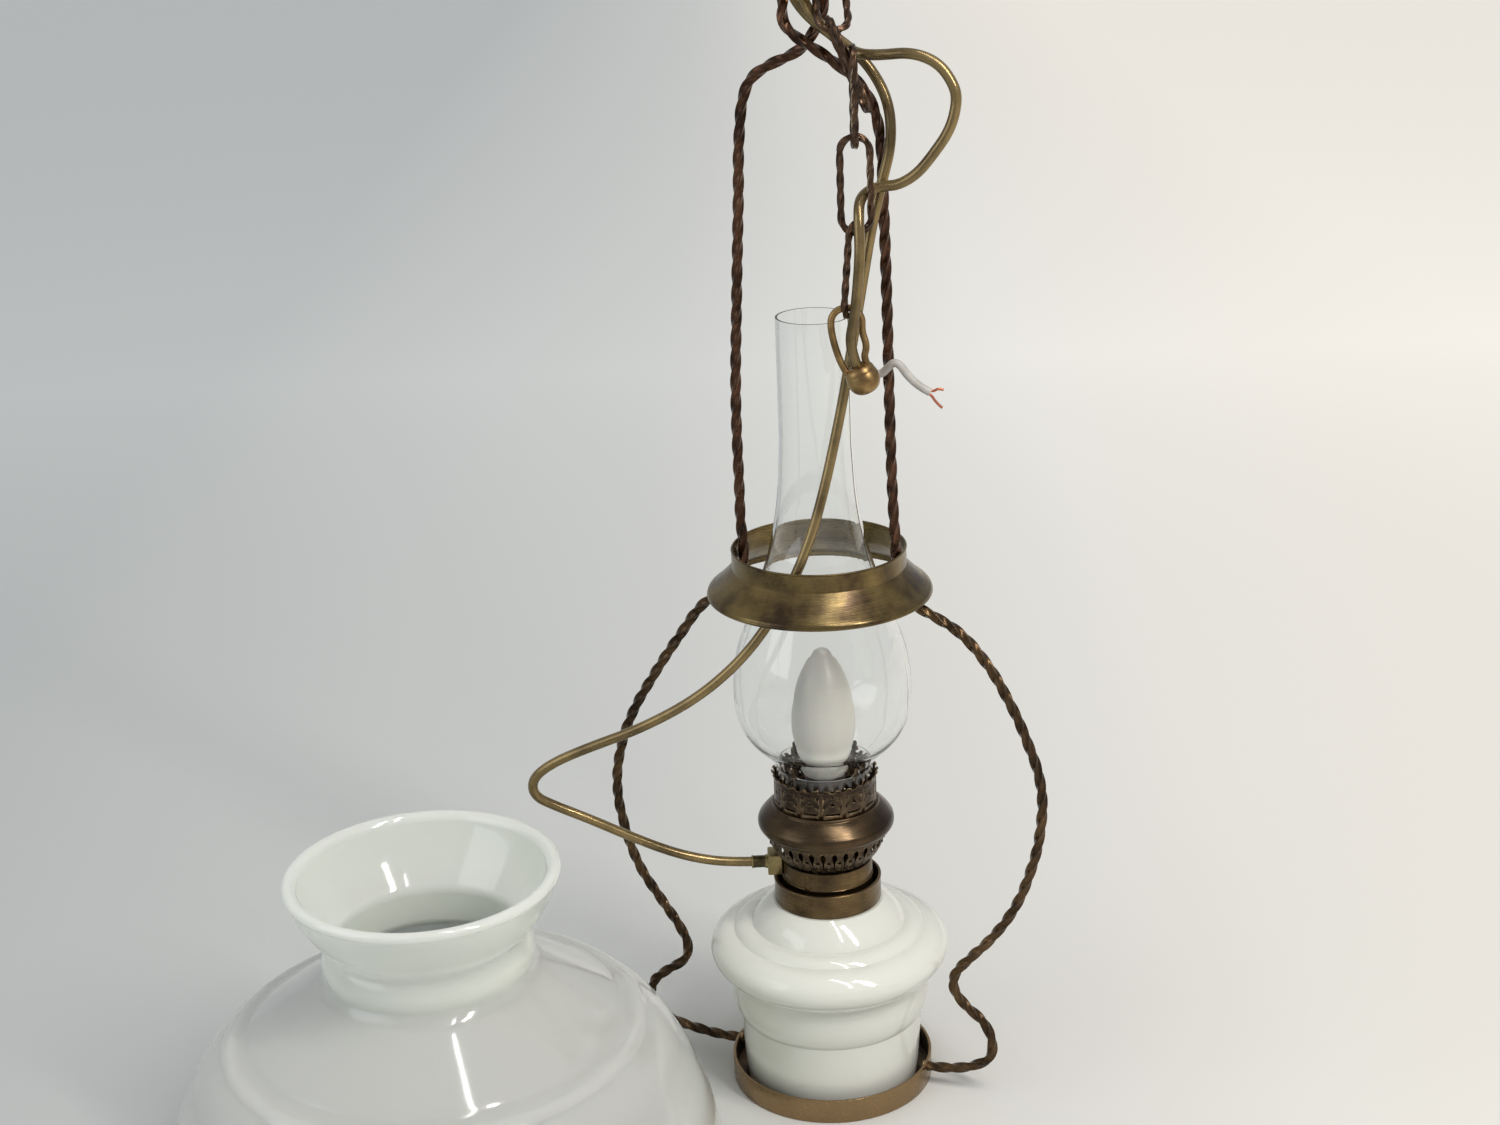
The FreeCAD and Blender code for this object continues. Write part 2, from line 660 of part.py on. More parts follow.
# Routes of the bars: the arms by the ring's radius and their own height, the crook with the eye
# by its own height, and the harp by its width and the height of the joint at the shade ring
left_arm_shares = [
    (-0.9357, 0.1082), (-0.9357, 0.1732), (-0.9357, 0.4026), (-0.8798, 0.6364), (-0.8155, 0.8615),
]
right_arm_shares = [
    (0.8155, 1), (0.8368, 0.8701), (0.8583, 0.6493), (0.8692, 0.4113), (0.8927, 0.1732),
    (0.9077, 0.1082),
]
crook_shares = [
    (-0.383, 0, 0.0319), (-0.3511, 0, 0.2234), (-0.3085, 0, 0.3085), (-0.2234, 0.0107, 0.3723),
    (-0.1064, 0.0266, 0.4256), (-0.0319, 0.0319, 0.4681), (0.0319, 0.0319, 0.5426),
    (0.0851, 0.0212, 0.6383), (0.117, 0, 0.766), (0.117, 0, 0.8511), (0.0745, 0, 0.9468), (0, 0, 1),
    (-0.0638, 0, 0.9681), (-0.1064, 0, 0.8936), (-0.117, 0, 0.8085), (-0.1117, -0.0107, 0.7127),
    (-0.1011, -0.0426, 0.617), (-0.0426, -0.0638, 0.5532), (0.0532, -0.0585, 0.4894),
    (0.1808, -0.0479, 0.4042), (0.3085, -0.0266, 0.2872), (0.3724, -0.0107, 0.1702),
]
harp_left_shares = [
    (-0.528, 0.9246), (-0.656, 0.8558), (-0.808, 0.7607), (-0.904, 0.6918), (-0.968, 0.623),
    (-1, 0.541), (-0.976, 0.459), (-0.912, 0.3771), (-0.808, 0.3082), (-0.72, 0.2525), (-0.692, 0.2197),
    (-0.712, 0.1902), (-0.8, 0.1607), (-0.872, 0.1311), (-0.888, 0.0984), (-0.848, 0.0688),
    (-0.776, 0.0525), (-0.648, 0.041), (-0.544, 0.0361),
]
harp_right_shares = [
    (0.512, 0.9344), (0.608, 0.9115), (0.728, 0.859), (0.824, 0.7935), (0.904, 0.7213), (0.968, 0.6361),
    (0.968, 0.5508), (0.92, 0.459), (0.848, 0.3836), (0.744, 0.318), (0.648, 0.2721), (0.588, 0.2393),
    (0.58, 0.2098), (0.632, 0.177), (0.712, 0.1475), (0.752, 0.1115), (0.744, 0.0754), (0.672, 0.0525),
    (0.56, 0.0393),
]
# Routes of the cord, the stripped lead and the hook loop, as shares of the same height
supply_shares = [
    (-0.10079, -0.03889, 0.2181), (-0.12714, -0.05127, 0.22825), (-0.15762, -0.06746, 0.24683),
    (-0.18921, -0.08413, 0.2681), (-0.21508, -0.09683, 0.28333), (-0.23095, -0.10603, 0.29524),
    (-0.23016, -0.10905, 0.31286), (-0.21032, -0.10857, 0.33016), (-0.17556, -0.10444, 0.3473),
    (-0.13159, -0.09683, 0.36571), (-0.08381, -0.08794, 0.39365), (-0.04508, -0.08063, 0.42905),
    (-0.0181, -0.07333, 0.46619), (0.00032, -0.06492, 0.50175), (0.01175, -0.05492, 0.53492),
    (0.01905, -0.04286, 0.56778), (0.0254, -0.02968, 0.60683), (0.0327, -0.0227, 0.64762),
    (0.04032, -0.01921, 0.69286), (0.04794, -0.01635, 0.73762), (0.05556, -0.01444, 0.78175),
    (0.06365, -0.01143, 0.8173), (0.07222, -0.00841, 0.84984), (0.06937, -0.00508, 0.8819),
    (0.05413, -0.00397, 0.90841), (0.03397, -0.00286, 0.92571), (0.01254, -0.00635, 0.93984),
    (-0.00254, -0.01111, 0.95698), (-0.01317, -0.01159, 0.98048), (-0.01651, -0.01111, 1.00444),
    (-0.01524, -0.0173, 1.02873), (-0.00746, -0.03651, 1.04524), (0.00333, -0.05952, 1.04016),
    (0.00952, -0.06571, 1.0219), (0.01079, -0.05524, 0.99714), (0.00968, -0.03698, 0.97556),
    (0.00667, -0.01952, 0.9573), (0.01762, -0.01476, 0.94079), (0.0319, -0.01206, 0.92841),
    (0.04635, -0.01524, 0.91905), (0.06698, -0.01952, 0.91889), (0.09238, -0.02206, 0.92175),
    (0.11333, -0.02127, 0.91429), (0.12619, -0.02333, 0.8981), (0.12857, -0.02254, 0.88492),
    (0.12587, -0.02286, 0.87421),
]
tail_shares = [
    (0.12587, -0.02286, 0.87417), (0.12317, -0.02317, 0.86349), (0.10841, -0.02302, 0.84302),
    (0.09571, -0.02095, 0.82841), (0.08079, -0.02048, 0.81937), (0.06698, -0.02032, 0.8181),
    (0.05746, -0.02381, 0.8154), (0.05333, -0.03635, 0.81048), (0.05571, -0.0481, 0.79873),
    (0.05778, -0.05222, 0.77365), (0.05556, -0.05206, 0.74746), (0.05254, -0.05238, 0.72175),
]
lead_shares = [
    (0.06429, -0.0219, 0.66651), (0.07016, -0.02317, 0.67238), (0.0754, -0.0246, 0.67778),
    (0.08095, -0.0254, 0.67635), (0.0873, -0.02476, 0.66698), (0.09667, -0.02302, 0.65794),
    (0.10444, -0.02111, 0.65365),
]
upper_strand_shares = [
    (0.10532, -0.0209, 0.65506), (0.10708, -0.02046, 0.6541), (0.11095, -0.02, 0.65698),
    (0.11476, -0.01841, 0.6554),
]
lower_strand_shares = [
    (0.10379, -0.02127, 0.65213), (0.10556, -0.02084, 0.65116), (0.10889, -0.02032, 0.6454),
    (0.11365, -0.01841, 0.64048),
]
loop_shares = [
    (0.0396, -0.04809, 0.67841), (0.03397, -0.04878, 0.69524), (0.03093, -0.04786, 0.70873),
    (0.03095, -0.04651, 0.71825), (0.0371, -0.04393, 0.72476), (0.04799, -0.03996, 0.72476),
    (0.05436, -0.03798, 0.71667), (0.05401, -0.0398, 0.70556), (0.05843, -0.03988, 0.69397),
    (0.05544, -0.04232, 0.68381),
]

# Frame: twisted square bars, the hanger with its eye and the two harp arms
bar_side, bar_pitch = size("bar_side"), size("bar_pitch")
joint = Vector(size("ring_collar_radius - ring_wall - bar_side * 0.71"), 0, size("ring_top_height - ring_height * 0.577"))
foot = Vector(size("holder_radius"), 0, size("holder_height * foot_share"))
collar_rise_shares = (0, 0.3, 0.54)
harp_neck_shares = ((0, 0), (0.0083, -0.154), (0.063, -0.365), (0.204, -0.596))


def mirrored(point):
    return Vector(-point.x, point.y, point.z)


collar_run = [joint + Z_AXIS * (size("ring_height") * share) for share in collar_rise_shares]
neck_run = [
    joint + Vector(size("ring_rim_radius") * across, 0, size("ring_height") * up) for across, up in harp_neck_shares
]
crook_foot = size("eye_top_height - crook_height")


def arm_run(shares):
    """Points of a straight arm between the shade ring and the crook."""
    radius = size("ring_collar_radius")
    return [Vector(across * radius, 0, joint.z + (crook_foot - joint.z) * up) for across, up in shares]


def harp_run(shares):
    """Points of a harp arm between the holder ring and the shade ring."""
    return [Vector(across * size("harp_width"), 0, joint.z * up) for across, up in shares]


crook_run = [Vector(*row) * size("crook_height") + Z_AXIS * crook_foot for row in crook_shares]
hanger_bail = feature("hanger_bail", twisted_bar(
    [smooth_edge([*map(mirrored, collar_run), *arm_run(left_arm_shares), *crook_run,
                  *arm_run(right_arm_shares), *reversed(collar_run)])],
    bar_side, bar_pitch, Y_AXIS, first=Z_AXIS, last=Z_AXIS * -1))
harp_left = feature("harp_left", twisted_bar(
    [smooth_edge([*map(mirrored, neck_run), *harp_run(harp_left_shares), mirrored(foot)])],
    bar_side, bar_pitch, Y_AXIS, first=Z_AXIS * -1, last=X_AXIS))
harp_right = feature("harp_right", twisted_bar(
    [smooth_edge([*neck_run, *harp_run(harp_right_shares), foot])],
    bar_side, bar_pitch, Y_AXIS, first=Z_AXIS * -1, last=X_AXIS * -1))

# Rivets through the holder ring's wall into the ends of the harp arms
rivet = Part.makeCylinder(size("rivet_radius"), size("holder_wall + rivet_radius"), Vector(), X_AXIS).fuse(
    Part.makeCylinder(size("rivet_head_radius"), size("rivet_head_height"), Vector(size("rivet_head_height") * -1, 0, 0), X_AXIS))


def run_rivets():
    """Both rivets, their heads inside the wall."""
    both = []
    for turn in (0, HALF_TURN):
        one = rivet.copy()
        place = Rotation(Z_AXIS, turn)
        one.Placement = Placement(place.multVec(Vector(
            size("holder_radius - holder_wall"), 0, foot.z)), place)
        both.append(one)
    return both


# Chain: links of twisted square bar, each with its own place, axis and side
thick = size("link_side") * math.sqrt(2)
middle_length, end_radius = size("link_length") - thick, (size("link_width") - thick) / 2


def link_edges():
    """Centreline of a link in its own frame, long along Z and wide along X."""
    straight = middle_length / 2 - end_radius
    top, bottom = Vector(0, 0, straight + end_radius), Vector(0, 0, -straight - end_radius)
    right_low, right_high = Vector(end_radius, 0, -straight), Vector(end_radius, 0, straight)
    left_low, left_high = Vector(-end_radius, 0, -straight), Vector(-end_radius, 0, straight)
    return [
        Part.makeLine(right_low, right_high), Part.Arc(right_high, top, left_high).toShape(),
        Part.makeLine(left_high, left_low), Part.Arc(left_low, bottom, right_low).toShape(),
    ]


def set_link(label, centre, axis, side):
    """Put a link's shape at a place, with its length along axis and its width along side."""
    turn = Rotation(side, Vector(), axis, "ZXY")
    shape = twisted_bar(link_edges(), size("link_side"), size("link_pitch"), Y_AXIS, loop=True)
    return feature(label, shape, Placement(centre, turn))


def seen_way(right, front, up):
    """Direction given as the lamp is looked at."""
    return seen(right, front, up).normalize()


down_step = middle_length - thick - size("link_play")
chain_height = size("eye_top_height - chain_drop")
link_a_centre = Vector(size("chain_right"), size("chain_front"), chain_height)
link_b_centre = link_a_centre - Z_AXIS * down_step
c_axis = Vector(0.085, 0, 1).normalize()
link_c_centre = link_b_centre + Z_AXIS * (thick + size("link_play") * 2.2 - middle_length / 2) - c_axis * (middle_length / 2)
link_d_shares = (-0.0427, -0.1227, 0.2831)
link_d_centre = link_a_centre + Vector(*link_d_shares) * size("link_length")
link_f_shares = (-0.133, -0.3478, 0.6105)
link_f_centre = link_d_centre + Vector(*link_f_shares) * size("link_length")
for label, centre, axis, side in (
    ("chain_link_1", link_f_centre, (-0.032, -0.781, 0.623), (0.998, -0.06, -0.023)),
    ("chain_link_2", link_d_centre, (0.377, 0.095, -0.921), (0.095, 0.986, 0.14)),
    ("chain_link_3", link_a_centre, (0, 0, 1), (0, 1, 0)),
    ("chain_link_4", link_b_centre, (0, 0, 1), (1, 0, 0)),
    ("chain_link_5", link_c_centre, tuple(c_axis), (0.5, -0.87, 0)),
):
    set_link(label, seen(*centre), seen_way(*axis), seen_way(*side))

# Hook loop of round wire through the last link, its ends in the cord grip
grip_place = Vector(size("chain_right") + size("link_width") * 0.0895, size("chain_front") + size("link_width") * 0.158,
                    chain_height - size("link_length") * 2.7165)
grip_way = Vector(-0.42, 0, 0.9).normalize()
grip_turn = Rotation(seen_way(0.9, 0, 0.42), Vector(), seen_way(*grip_way), "ZXY")
grip_middle = seen(*grip_place)
lead_start_shares = (0.47, 0.84, -0.2)
lead_turn_shares = (0.68, 1.2, -0.2)
cord_grip = turned("cord_grip", [
    ("0", "0"),
    ("grip_radius * 0.72", "grip_height * 0.1", "grip_radius * 0.97", "grip_height * 0.36"),
    ("grip_radius", "grip_height * 0.52", "grip_radius * 0.93", "grip_height * 0.72"),
    ("grip_radius * 0.8", "grip_height * 0.92", "grip_radius * 0.55", "grip_height"),
    ("cord_radius + seat_gap", "grip_height"),
    ("cord_radius + seat_gap", "grip_height * 0.5"),
    ("0", "grip_height * 0.5"),
])
cord_grip.Placement = Placement(seen(*(grip_place - grip_way * (size("grip_height") * 0.5))), grip_turn)
# Gland: a square block on the burner's side and the tube that the cord comes out of
gland_box = doc.addObject("Part::Box", "gland_box")
for name, expression in (("Length", "gland_length"), ("Width", "gland_side"), ("Height", "gland_side")):
    gland_box.setExpression(name, bound(expression))
outward(gland_box, "base_radius - collar_wall", "gland_middle - gland_side * 0.5", "gland_side")
gland_seat = doc.addObject("Part::Cylinder", "gland_seat")
gland_seat.setExpression("Radius", bound("base_radius"))
gland_seat.setExpression("Height", bound("gland_middle * 2"))
gland_block = doc.addObject("Part::Cut", "gland_block")
gland_block.Label = "gland_block"
gland_block.Base = gland_box
gland_block.Tool = gland_seat
gland_tube = turned("gland_tube", [
    ("cord_radius + seat_gap", "0"),
    ("gland_tube_radius", "0"),
    ("gland_tube_radius", "gland_tube_length"),
    ("cord_radius + seat_gap", "gland_tube_length"),
])
gland_way = seen_way(-1, 0, 0)
gland_tube.Placement = Placement(
    gland_way * size("base_radius - collar_wall + gland_length") + Z_AXIS * size("gland_middle"),
    Rotation(Z_AXIS, gland_way))

# Cord from the gland over the eye and back, its end in the chain, and the stripped lead
def gland_point(share):
    """A point on the gland's axis, shares of its tube's length out from its block."""
    reach = size("base_radius - collar_wall + gland_length") + size("gland_tube_length") * share
    return gland_way * reach + Z_AXIS * size("gland_middle")


def grip_point(right, front, along_axis):
    """A point given in shares of the cord grip's radius and height from its middle."""
    radius = size("grip_radius")
    return grip_middle + grip_turn.multVec(Vector(right * radius, front * radius, along_axis * size("grip_height")))


cord_supply = round_piece(
    "cord_supply", [gland_point(0.04), gland_point(1.9), *route(supply_shares)], size("cord_radius"))
cord_tail = round_piece(
    "cord_tail", [*route(tail_shares), grip_point(0, 0, 1.13), grip_point(0, 0, 0.1)], size("cord_radius"))
inner_lead = round_piece(
    "inner_lead", [grip_point(*lead_start_shares), grip_point(*lead_turn_shares), *route(lead_shares)], size("lead_radius"))
upper_strand = round_piece("copper_strand_upper", route(upper_strand_shares), size("conductor_radius"))
lower_strand = round_piece("copper_strand_lower", route(lower_strand_shares), size("conductor_radius"))
hook_loop = round_piece(
    "hook_loop", [grip_point(-0.66, 0, -0.07), *route(loop_shares), grip_point(0.64, 0, 0.13)], size("loop_wire / 2"))

# Milk glass shade that stands beside the lamp
shade_shares = [
    (1, 0.03), (0.945, 0.235, 0.86, 0.383), (0.79, 0.47, 0.715, 0.531),
    (0.683, 0.541, 0.655, 0.526), (0.345, 0.7), (0.365, 0.755, 0.343, 0.8), (0.41, 0.885, 0.466, 0.985),
]
shade_inner_shares = [
    (0.675, 0.51), (0.705, 0.512, 0.79, 0.45), (0.86, 0.365),
    (0.945, 0.225, 1, 0.03),
]
glass_shade = turned("glass_shade", [
    ("shade_radius - shade_wall", "0"),
    ("shade_radius - shade_wall * 0.4", "0"),
    *shares_of("shade_radius", "shade_height", shade_shares),
    ("shade_radius * 0.46", "shade_height", "shade_radius * 0.453", "shade_height * 0.985"),
    ("shade_radius * 0.385", "shade_height * 0.88", "shade_neck_radius", "shade_height * 0.81"),
    ("shade_neck_radius", "shade_height * 0.69"),
    *[tuple(f"{word} - shade_wall" if place % 2 == 0 else word for place, word in enumerate(step))
      for step in shares_of("shade_radius", "shade_height", shade_inner_shares)],
])
glass_shade.Placement.Base = seen(size("shade_left * -1"), size("shade_front"), 0)

doc.recompute()
# Pieces that are seated on another one are cut to it
foot_rivets = feature("foot_rivets", Part.Compound(run_rivets()))
holder_ring = doc.addObject("Part::Cut", "holder_ring")
holder_ring.Label = "holder_ring"
holder_ring.Base = ring_band
holder_ring.Tool = foot_rivets
hook_loop.Shape = hook_loop.Shape.cut(cord_grip.Shape)
for item in (harp_left, harp_right):
    item.Shape = item.Shape.cut(foot_rivets.Shape)

# Checks, then the export
NODES = [
    holder_ring, font, font_collar, burner_base, lower_gallery, burner_dome, chimney_gallery, burner_crown,
    stem, lampholder, contact, bulb_tip, bulb_cap, bulb_glass, chimney, shade_ring, hanger_bail, harp_left,
    harp_right, foot_rivets, gland_block, gland_tube, cord_supply, cord_tail, cord_grip, hook_loop,
    inner_lead, upper_strand, lower_strand, glass_shade,
    *[doc.getObject(f"chain_link_{number}") for number in range(1, 6)],
]
doc.recompute()
for item in doc.Objects:
    if "Invalid" in item.State or "Error" in item.State:
        raise RuntimeError(f"{item.Name} is {item.State}")
for item in NODES:
    if item.Shape.isNull() or not item.Shape.isValid() or len(item.Shape.Solids) < 1:
        raise RuntimeError(f"{item.Label} has no valid solid")
os.makedirs("parts", exist_ok=True)
facets = 0
for item in NODES:
    item.Shape.exportStep(os.path.join("parts", item.Label + ".step"))
    facets += len(item.Shape.Faces) if len(item.Shape.Faces) > 200 else 0
    print(item.Label, len(item.Shape.Solids), round(item.Shape.Volume))
print("nodes", len(NODES), "facets", facets)
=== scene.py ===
import math

import bmesh
import bpy
from mathutils import Matrix, Vector


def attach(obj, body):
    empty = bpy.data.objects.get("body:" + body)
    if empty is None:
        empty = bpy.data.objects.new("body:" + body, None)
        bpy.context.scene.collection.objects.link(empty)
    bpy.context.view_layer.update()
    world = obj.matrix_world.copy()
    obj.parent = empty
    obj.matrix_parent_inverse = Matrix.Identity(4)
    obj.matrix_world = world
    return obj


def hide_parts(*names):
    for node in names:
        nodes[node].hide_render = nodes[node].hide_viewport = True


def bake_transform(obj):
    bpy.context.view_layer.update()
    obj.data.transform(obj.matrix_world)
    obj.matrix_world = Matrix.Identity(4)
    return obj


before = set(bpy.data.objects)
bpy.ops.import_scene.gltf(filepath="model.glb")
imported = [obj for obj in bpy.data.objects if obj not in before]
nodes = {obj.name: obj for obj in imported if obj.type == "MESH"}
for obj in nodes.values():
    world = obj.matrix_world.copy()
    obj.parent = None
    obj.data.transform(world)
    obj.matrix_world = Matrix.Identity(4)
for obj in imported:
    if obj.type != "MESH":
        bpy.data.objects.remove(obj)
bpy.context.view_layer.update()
scene = bpy.context.scene
scene.view_settings.view_transform = "Standard"
MM = 0.001

# Camera: it looks at the lamp from the front right, 20 degrees round from the flat of its
# frame, a little from above and with a slight lean, as the photograph was taken.
view_turn, view_pitch, view_roll = (math.radians(angle) for angle in (20, 19.56, -2.18))
CAMERA_PLACE, CAMERA_LENS, CAMERA_SENSOR = (0.3608, -1.0988, 0.7226), 55.2, 36
backward = Vector((math.sin(view_turn), -math.cos(view_turn), 0))
level = Vector((math.cos(view_turn), math.sin(view_turn), 0))
sight = -backward * math.cos(view_pitch) - Vector((0, 0, math.sin(view_pitch)))
rise = level.cross(sight)
camera_right = level * math.cos(view_roll) + rise * math.sin(view_roll)
camera_up = rise * math.cos(view_roll) - level * math.sin(view_roll)
camera = bpy.data.objects.new("camera", bpy.data.cameras.new("camera"))
camera.data.sensor_width = CAMERA_SENSOR
camera.data.lens = CAMERA_LENS
camera.matrix_world = (
    Matrix.Translation(CAMERA_PLACE) @ Matrix((camera_right, camera_up, -sight)).transposed().to_4x4())
scene.collection.objects.link(camera)
scene.camera = camera


def seen(right, front, height):
    """Place in metres of a point so many millimetres to the right, in front and up, as the camera looks."""
    return (level * right + backward * front + Vector((0, 0, height))) * MM


# Floor: a wide sheet of matt white paper with a faint mottle. Its colour carries painted shade
# that greys it towards the left and painted light that brightens and warms it to the right, and
# it has a painted glow, seen by the camera and in reflections, that grows with distance. It is
# the stage and not part of the lamp.
def new_finish(name):
    """A material, its tree and its shader."""
    material = bpy.data.materials.new(name)
    material.use_nodes = True
    return material, material.node_tree, material.node_tree.nodes["Principled BSDF"]


def put(tree, kind, inputs=None, **settings):
    """A shader node with its settings; an input takes a value or another node's socket."""
    node = tree.nodes.new("ShaderNode" + kind)
    for name, setting in settings.items():
        setattr(node, name, setting)
    for name, value in (inputs or {}).items():
        if isinstance(value, bpy.types.NodeSocket):
            tree.links.new(value, node.inputs[name])
        else:
            node.inputs[name].default_value = value
    return node


def maths(tree, operation, *values):
    """The outcome of one sum."""
    return put(tree, "Math", dict(enumerate(values)), operation=operation).outputs[0]


def settle(shader, **settings):
    """Plain values for a shader's sockets, named with _ for a space."""
    for name, value in settings.items():
        shader.inputs[name.replace("_", " ")].default_value = value


def ramp(tree, source, *stops):
    """Colour that follows a value, from (place, colour) stops."""
    node = put(tree, "ValToRGB", {"Fac": source})
    while len(node.color_ramp.elements) < len(stops):
        node.color_ramp.elements.new(0.5)
    for element, (place, color) in zip(node.color_ramp.elements, stops):
        element.position = place
        element.color = (*color, 1)
    return node.outputs["Color"]


def spread(tree, source, low, high, start=0.0, end=1.0):
    """A value taken from one range to another."""
    node = put(tree, "MapRange", {"Value": source, "From Min": start, "From Max": end, "To Min": low, "To Max": high})
    return node.outputs["Result"]


def speckle(tree, scale, detail=4, rough=0.55, where=None):
    """Soft cloudy values over the piece."""
    place = where or put(tree, "TexCoord").outputs["Object"]
    node = put(tree, "TexNoise", {"Vector": place, "Scale": scale, "Detail": detail, "Roughness": rough})
    return node.outputs["Fac"]


def relief(tree, shader, source, strength, depth):
    """Bump of a real depth in metres."""
    node = put(tree, "Bump", {"Height": source, "Strength": strength, "Distance": depth})
    tree.links.new(node.outputs["Normal"], shader.inputs["Normal"])


paper, tree, shader = new_finish("white_paper")
across = put(tree, "Mapping", {"Vector": put(tree, "TexCoord").outputs["Object"], "Rotation": (0, 0, -view_turn)})
sides = put(tree, "SeparateXYZ", {"Vector": across.outputs["Vector"]})
# Painted shade greys the paper towards the left; painted light brightens and warms it to the right.
painted_light_tint = ramp(tree, spread(tree, sides.outputs["X"], 0, 1, -0.7, 0.9), (0, (0.455, 0.475, 0.475)),
            (0.35, (0.565, 0.575, 0.565)), (0.62, (0.76, 0.745, 0.705)), (1, (0.86, 0.82, 0.75)))
tree.links.new(painted_light_tint, shader.inputs["Base Color"])
settle(shader, Roughness=0.85)
# Painted glow: the paper gives off light that grows with distance, seen only by the camera and in reflections.
watched = put(tree, "LightPath")
in_sight = maths(tree, "MAXIMUM", watched.outputs["Is Camera Ray"], watched.outputs["Is Glossy Ray"])
in_sight = maths(tree, "MAXIMUM", in_sight, watched.outputs["Is Transmission Ray"])
painted_glow = spread(tree, sides.outputs["Y"], 0.02, 0.46, 0.0, 1.6)
tree.links.new(maths(tree, "MULTIPLY", in_sight, painted_glow), shader.inputs["Emission Strength"])
tree.links.new(painted_light_tint, shader.inputs["Emission Color"])
relief(tree, shader, speckle(tree, 40), 0.12, 0.002)
FLOOR_RADIUS, FLOOR_DROP = 9, 0.2 * MM
ground = bmesh.new()
bmesh.ops.create_circle(ground, cap_ends=True, segments=64, radius=FLOOR_RADIUS)
floor_mesh = bpy.data.meshes.new("floor")
ground.to_mesh(floor_mesh)
ground.free()
floor_mesh.materials.append(paper)
floor = bpy.data.objects.new("floor", floor_mesh)
floor.location.z = -FLOOR_DROP
scene.collection.objects.link(floor)

# Light: a tall narrow lamp high on the right, a weak wide one low on the left and a thin tube
# overhead for the long highlights on the glass, in an even pale room.
ROOM_STRENGTH, LAMPS_AIM = 0.55, Vector((-0.03, -0.03, 0.25))
world = bpy.data.worlds.new("room")
world.use_nodes = True
scene.world = world
room = world.node_tree
height = put(room, "SeparateXYZ", {"Vector": put(room, "TexCoord").outputs["Generated"]}).outputs["Z"]
room_color = ramp(room, spread(room, height, 0, 1, -0.2, 0.9), (0, (0.62, 0.64, 0.68)), (0.35, (0.80, 0.81, 0.83)),
                  (1, (0.93, 0.93, 0.92)))
room.links.new(room_color, room.nodes["Background"].inputs["Color"])
room.nodes["Background"].inputs["Strength"].default_value = ROOM_STRENGTH
for name, place, width, height, power, color in (
    ("key", seen(850, 950, 1650), 0.16, 1.3, 21, (1, 0.96, 0.9)),
    ("fill", seen(-1500, 700, 900), 1.2, 1.2, 6, (0.9, 0.95, 1)),
    ("tube", seen(250, 700, 1750), 0.06, 1.5, 5, (1, 1, 1)),
):
    light = bpy.data.lights.new(name, "AREA")
    light.shape = "RECTANGLE"
    light.size, light.size_y = width, height
    light.energy, light.color = power, color
    lamp = bpy.data.objects.new(name, light)
    aim = LAMPS_AIM - place
    lamp.matrix_world = Matrix.Translation(place) @ aim.to_track_quat("-Z", "Y").to_matrix().to_4x4()
    scene.collection.objects.link(lamp)


# Supply cord: round cable of 5.4 mm with a smooth sleeve the colour of old gold. It leaves
# the burner's gland, rises through the shade ring, goes over the eye and comes back in a loop.
def add_piece(name, data, body, material, slot, *stands_for):
    """A new piece that rides on a body and stands for its CAD nodes."""
    piece = bpy.data.objects.new(name, data)
    scene.collection.objects.link(piece)
    data.materials.clear()
    data.materials.append(material)
    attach(piece, body)
    if stands_for:
        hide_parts(*stands_for)
    return piece


def cord_line(name, points, radius):
    """A round cord on a smooth line along its route."""
    line = bpy.data.curves.new(name, "CURVE")
    line.dimensions = "3D"
    line.bevel_depth = radius
    line.bevel_resolution = 6
    line.resolution_u = 10
    line.use_fill_caps = True
    spline = line.splines.new("NURBS")
    spline.points.add(len(points) - 1)
    for place, point in zip(spline.points, points):
        place.co = (*point, 1)
    spline.order_u = 3
    spline.use_endpoint_u = True
    return line


def dull(tree, color, dirt, amount, scale):
    """A colour with soft darker patches."""
    share = spread(tree, speckle(tree, scale), 1 - amount, 1, 0.35, 0.6)
    node = put(tree, "Mix", data_type="RGBA")
    tree.links.new(share, node.inputs["Factor"])
    node.inputs[6].default_value = (*dirt, 1)
    node.inputs[7].default_value = (*color, 1)
    return node.outputs[2]


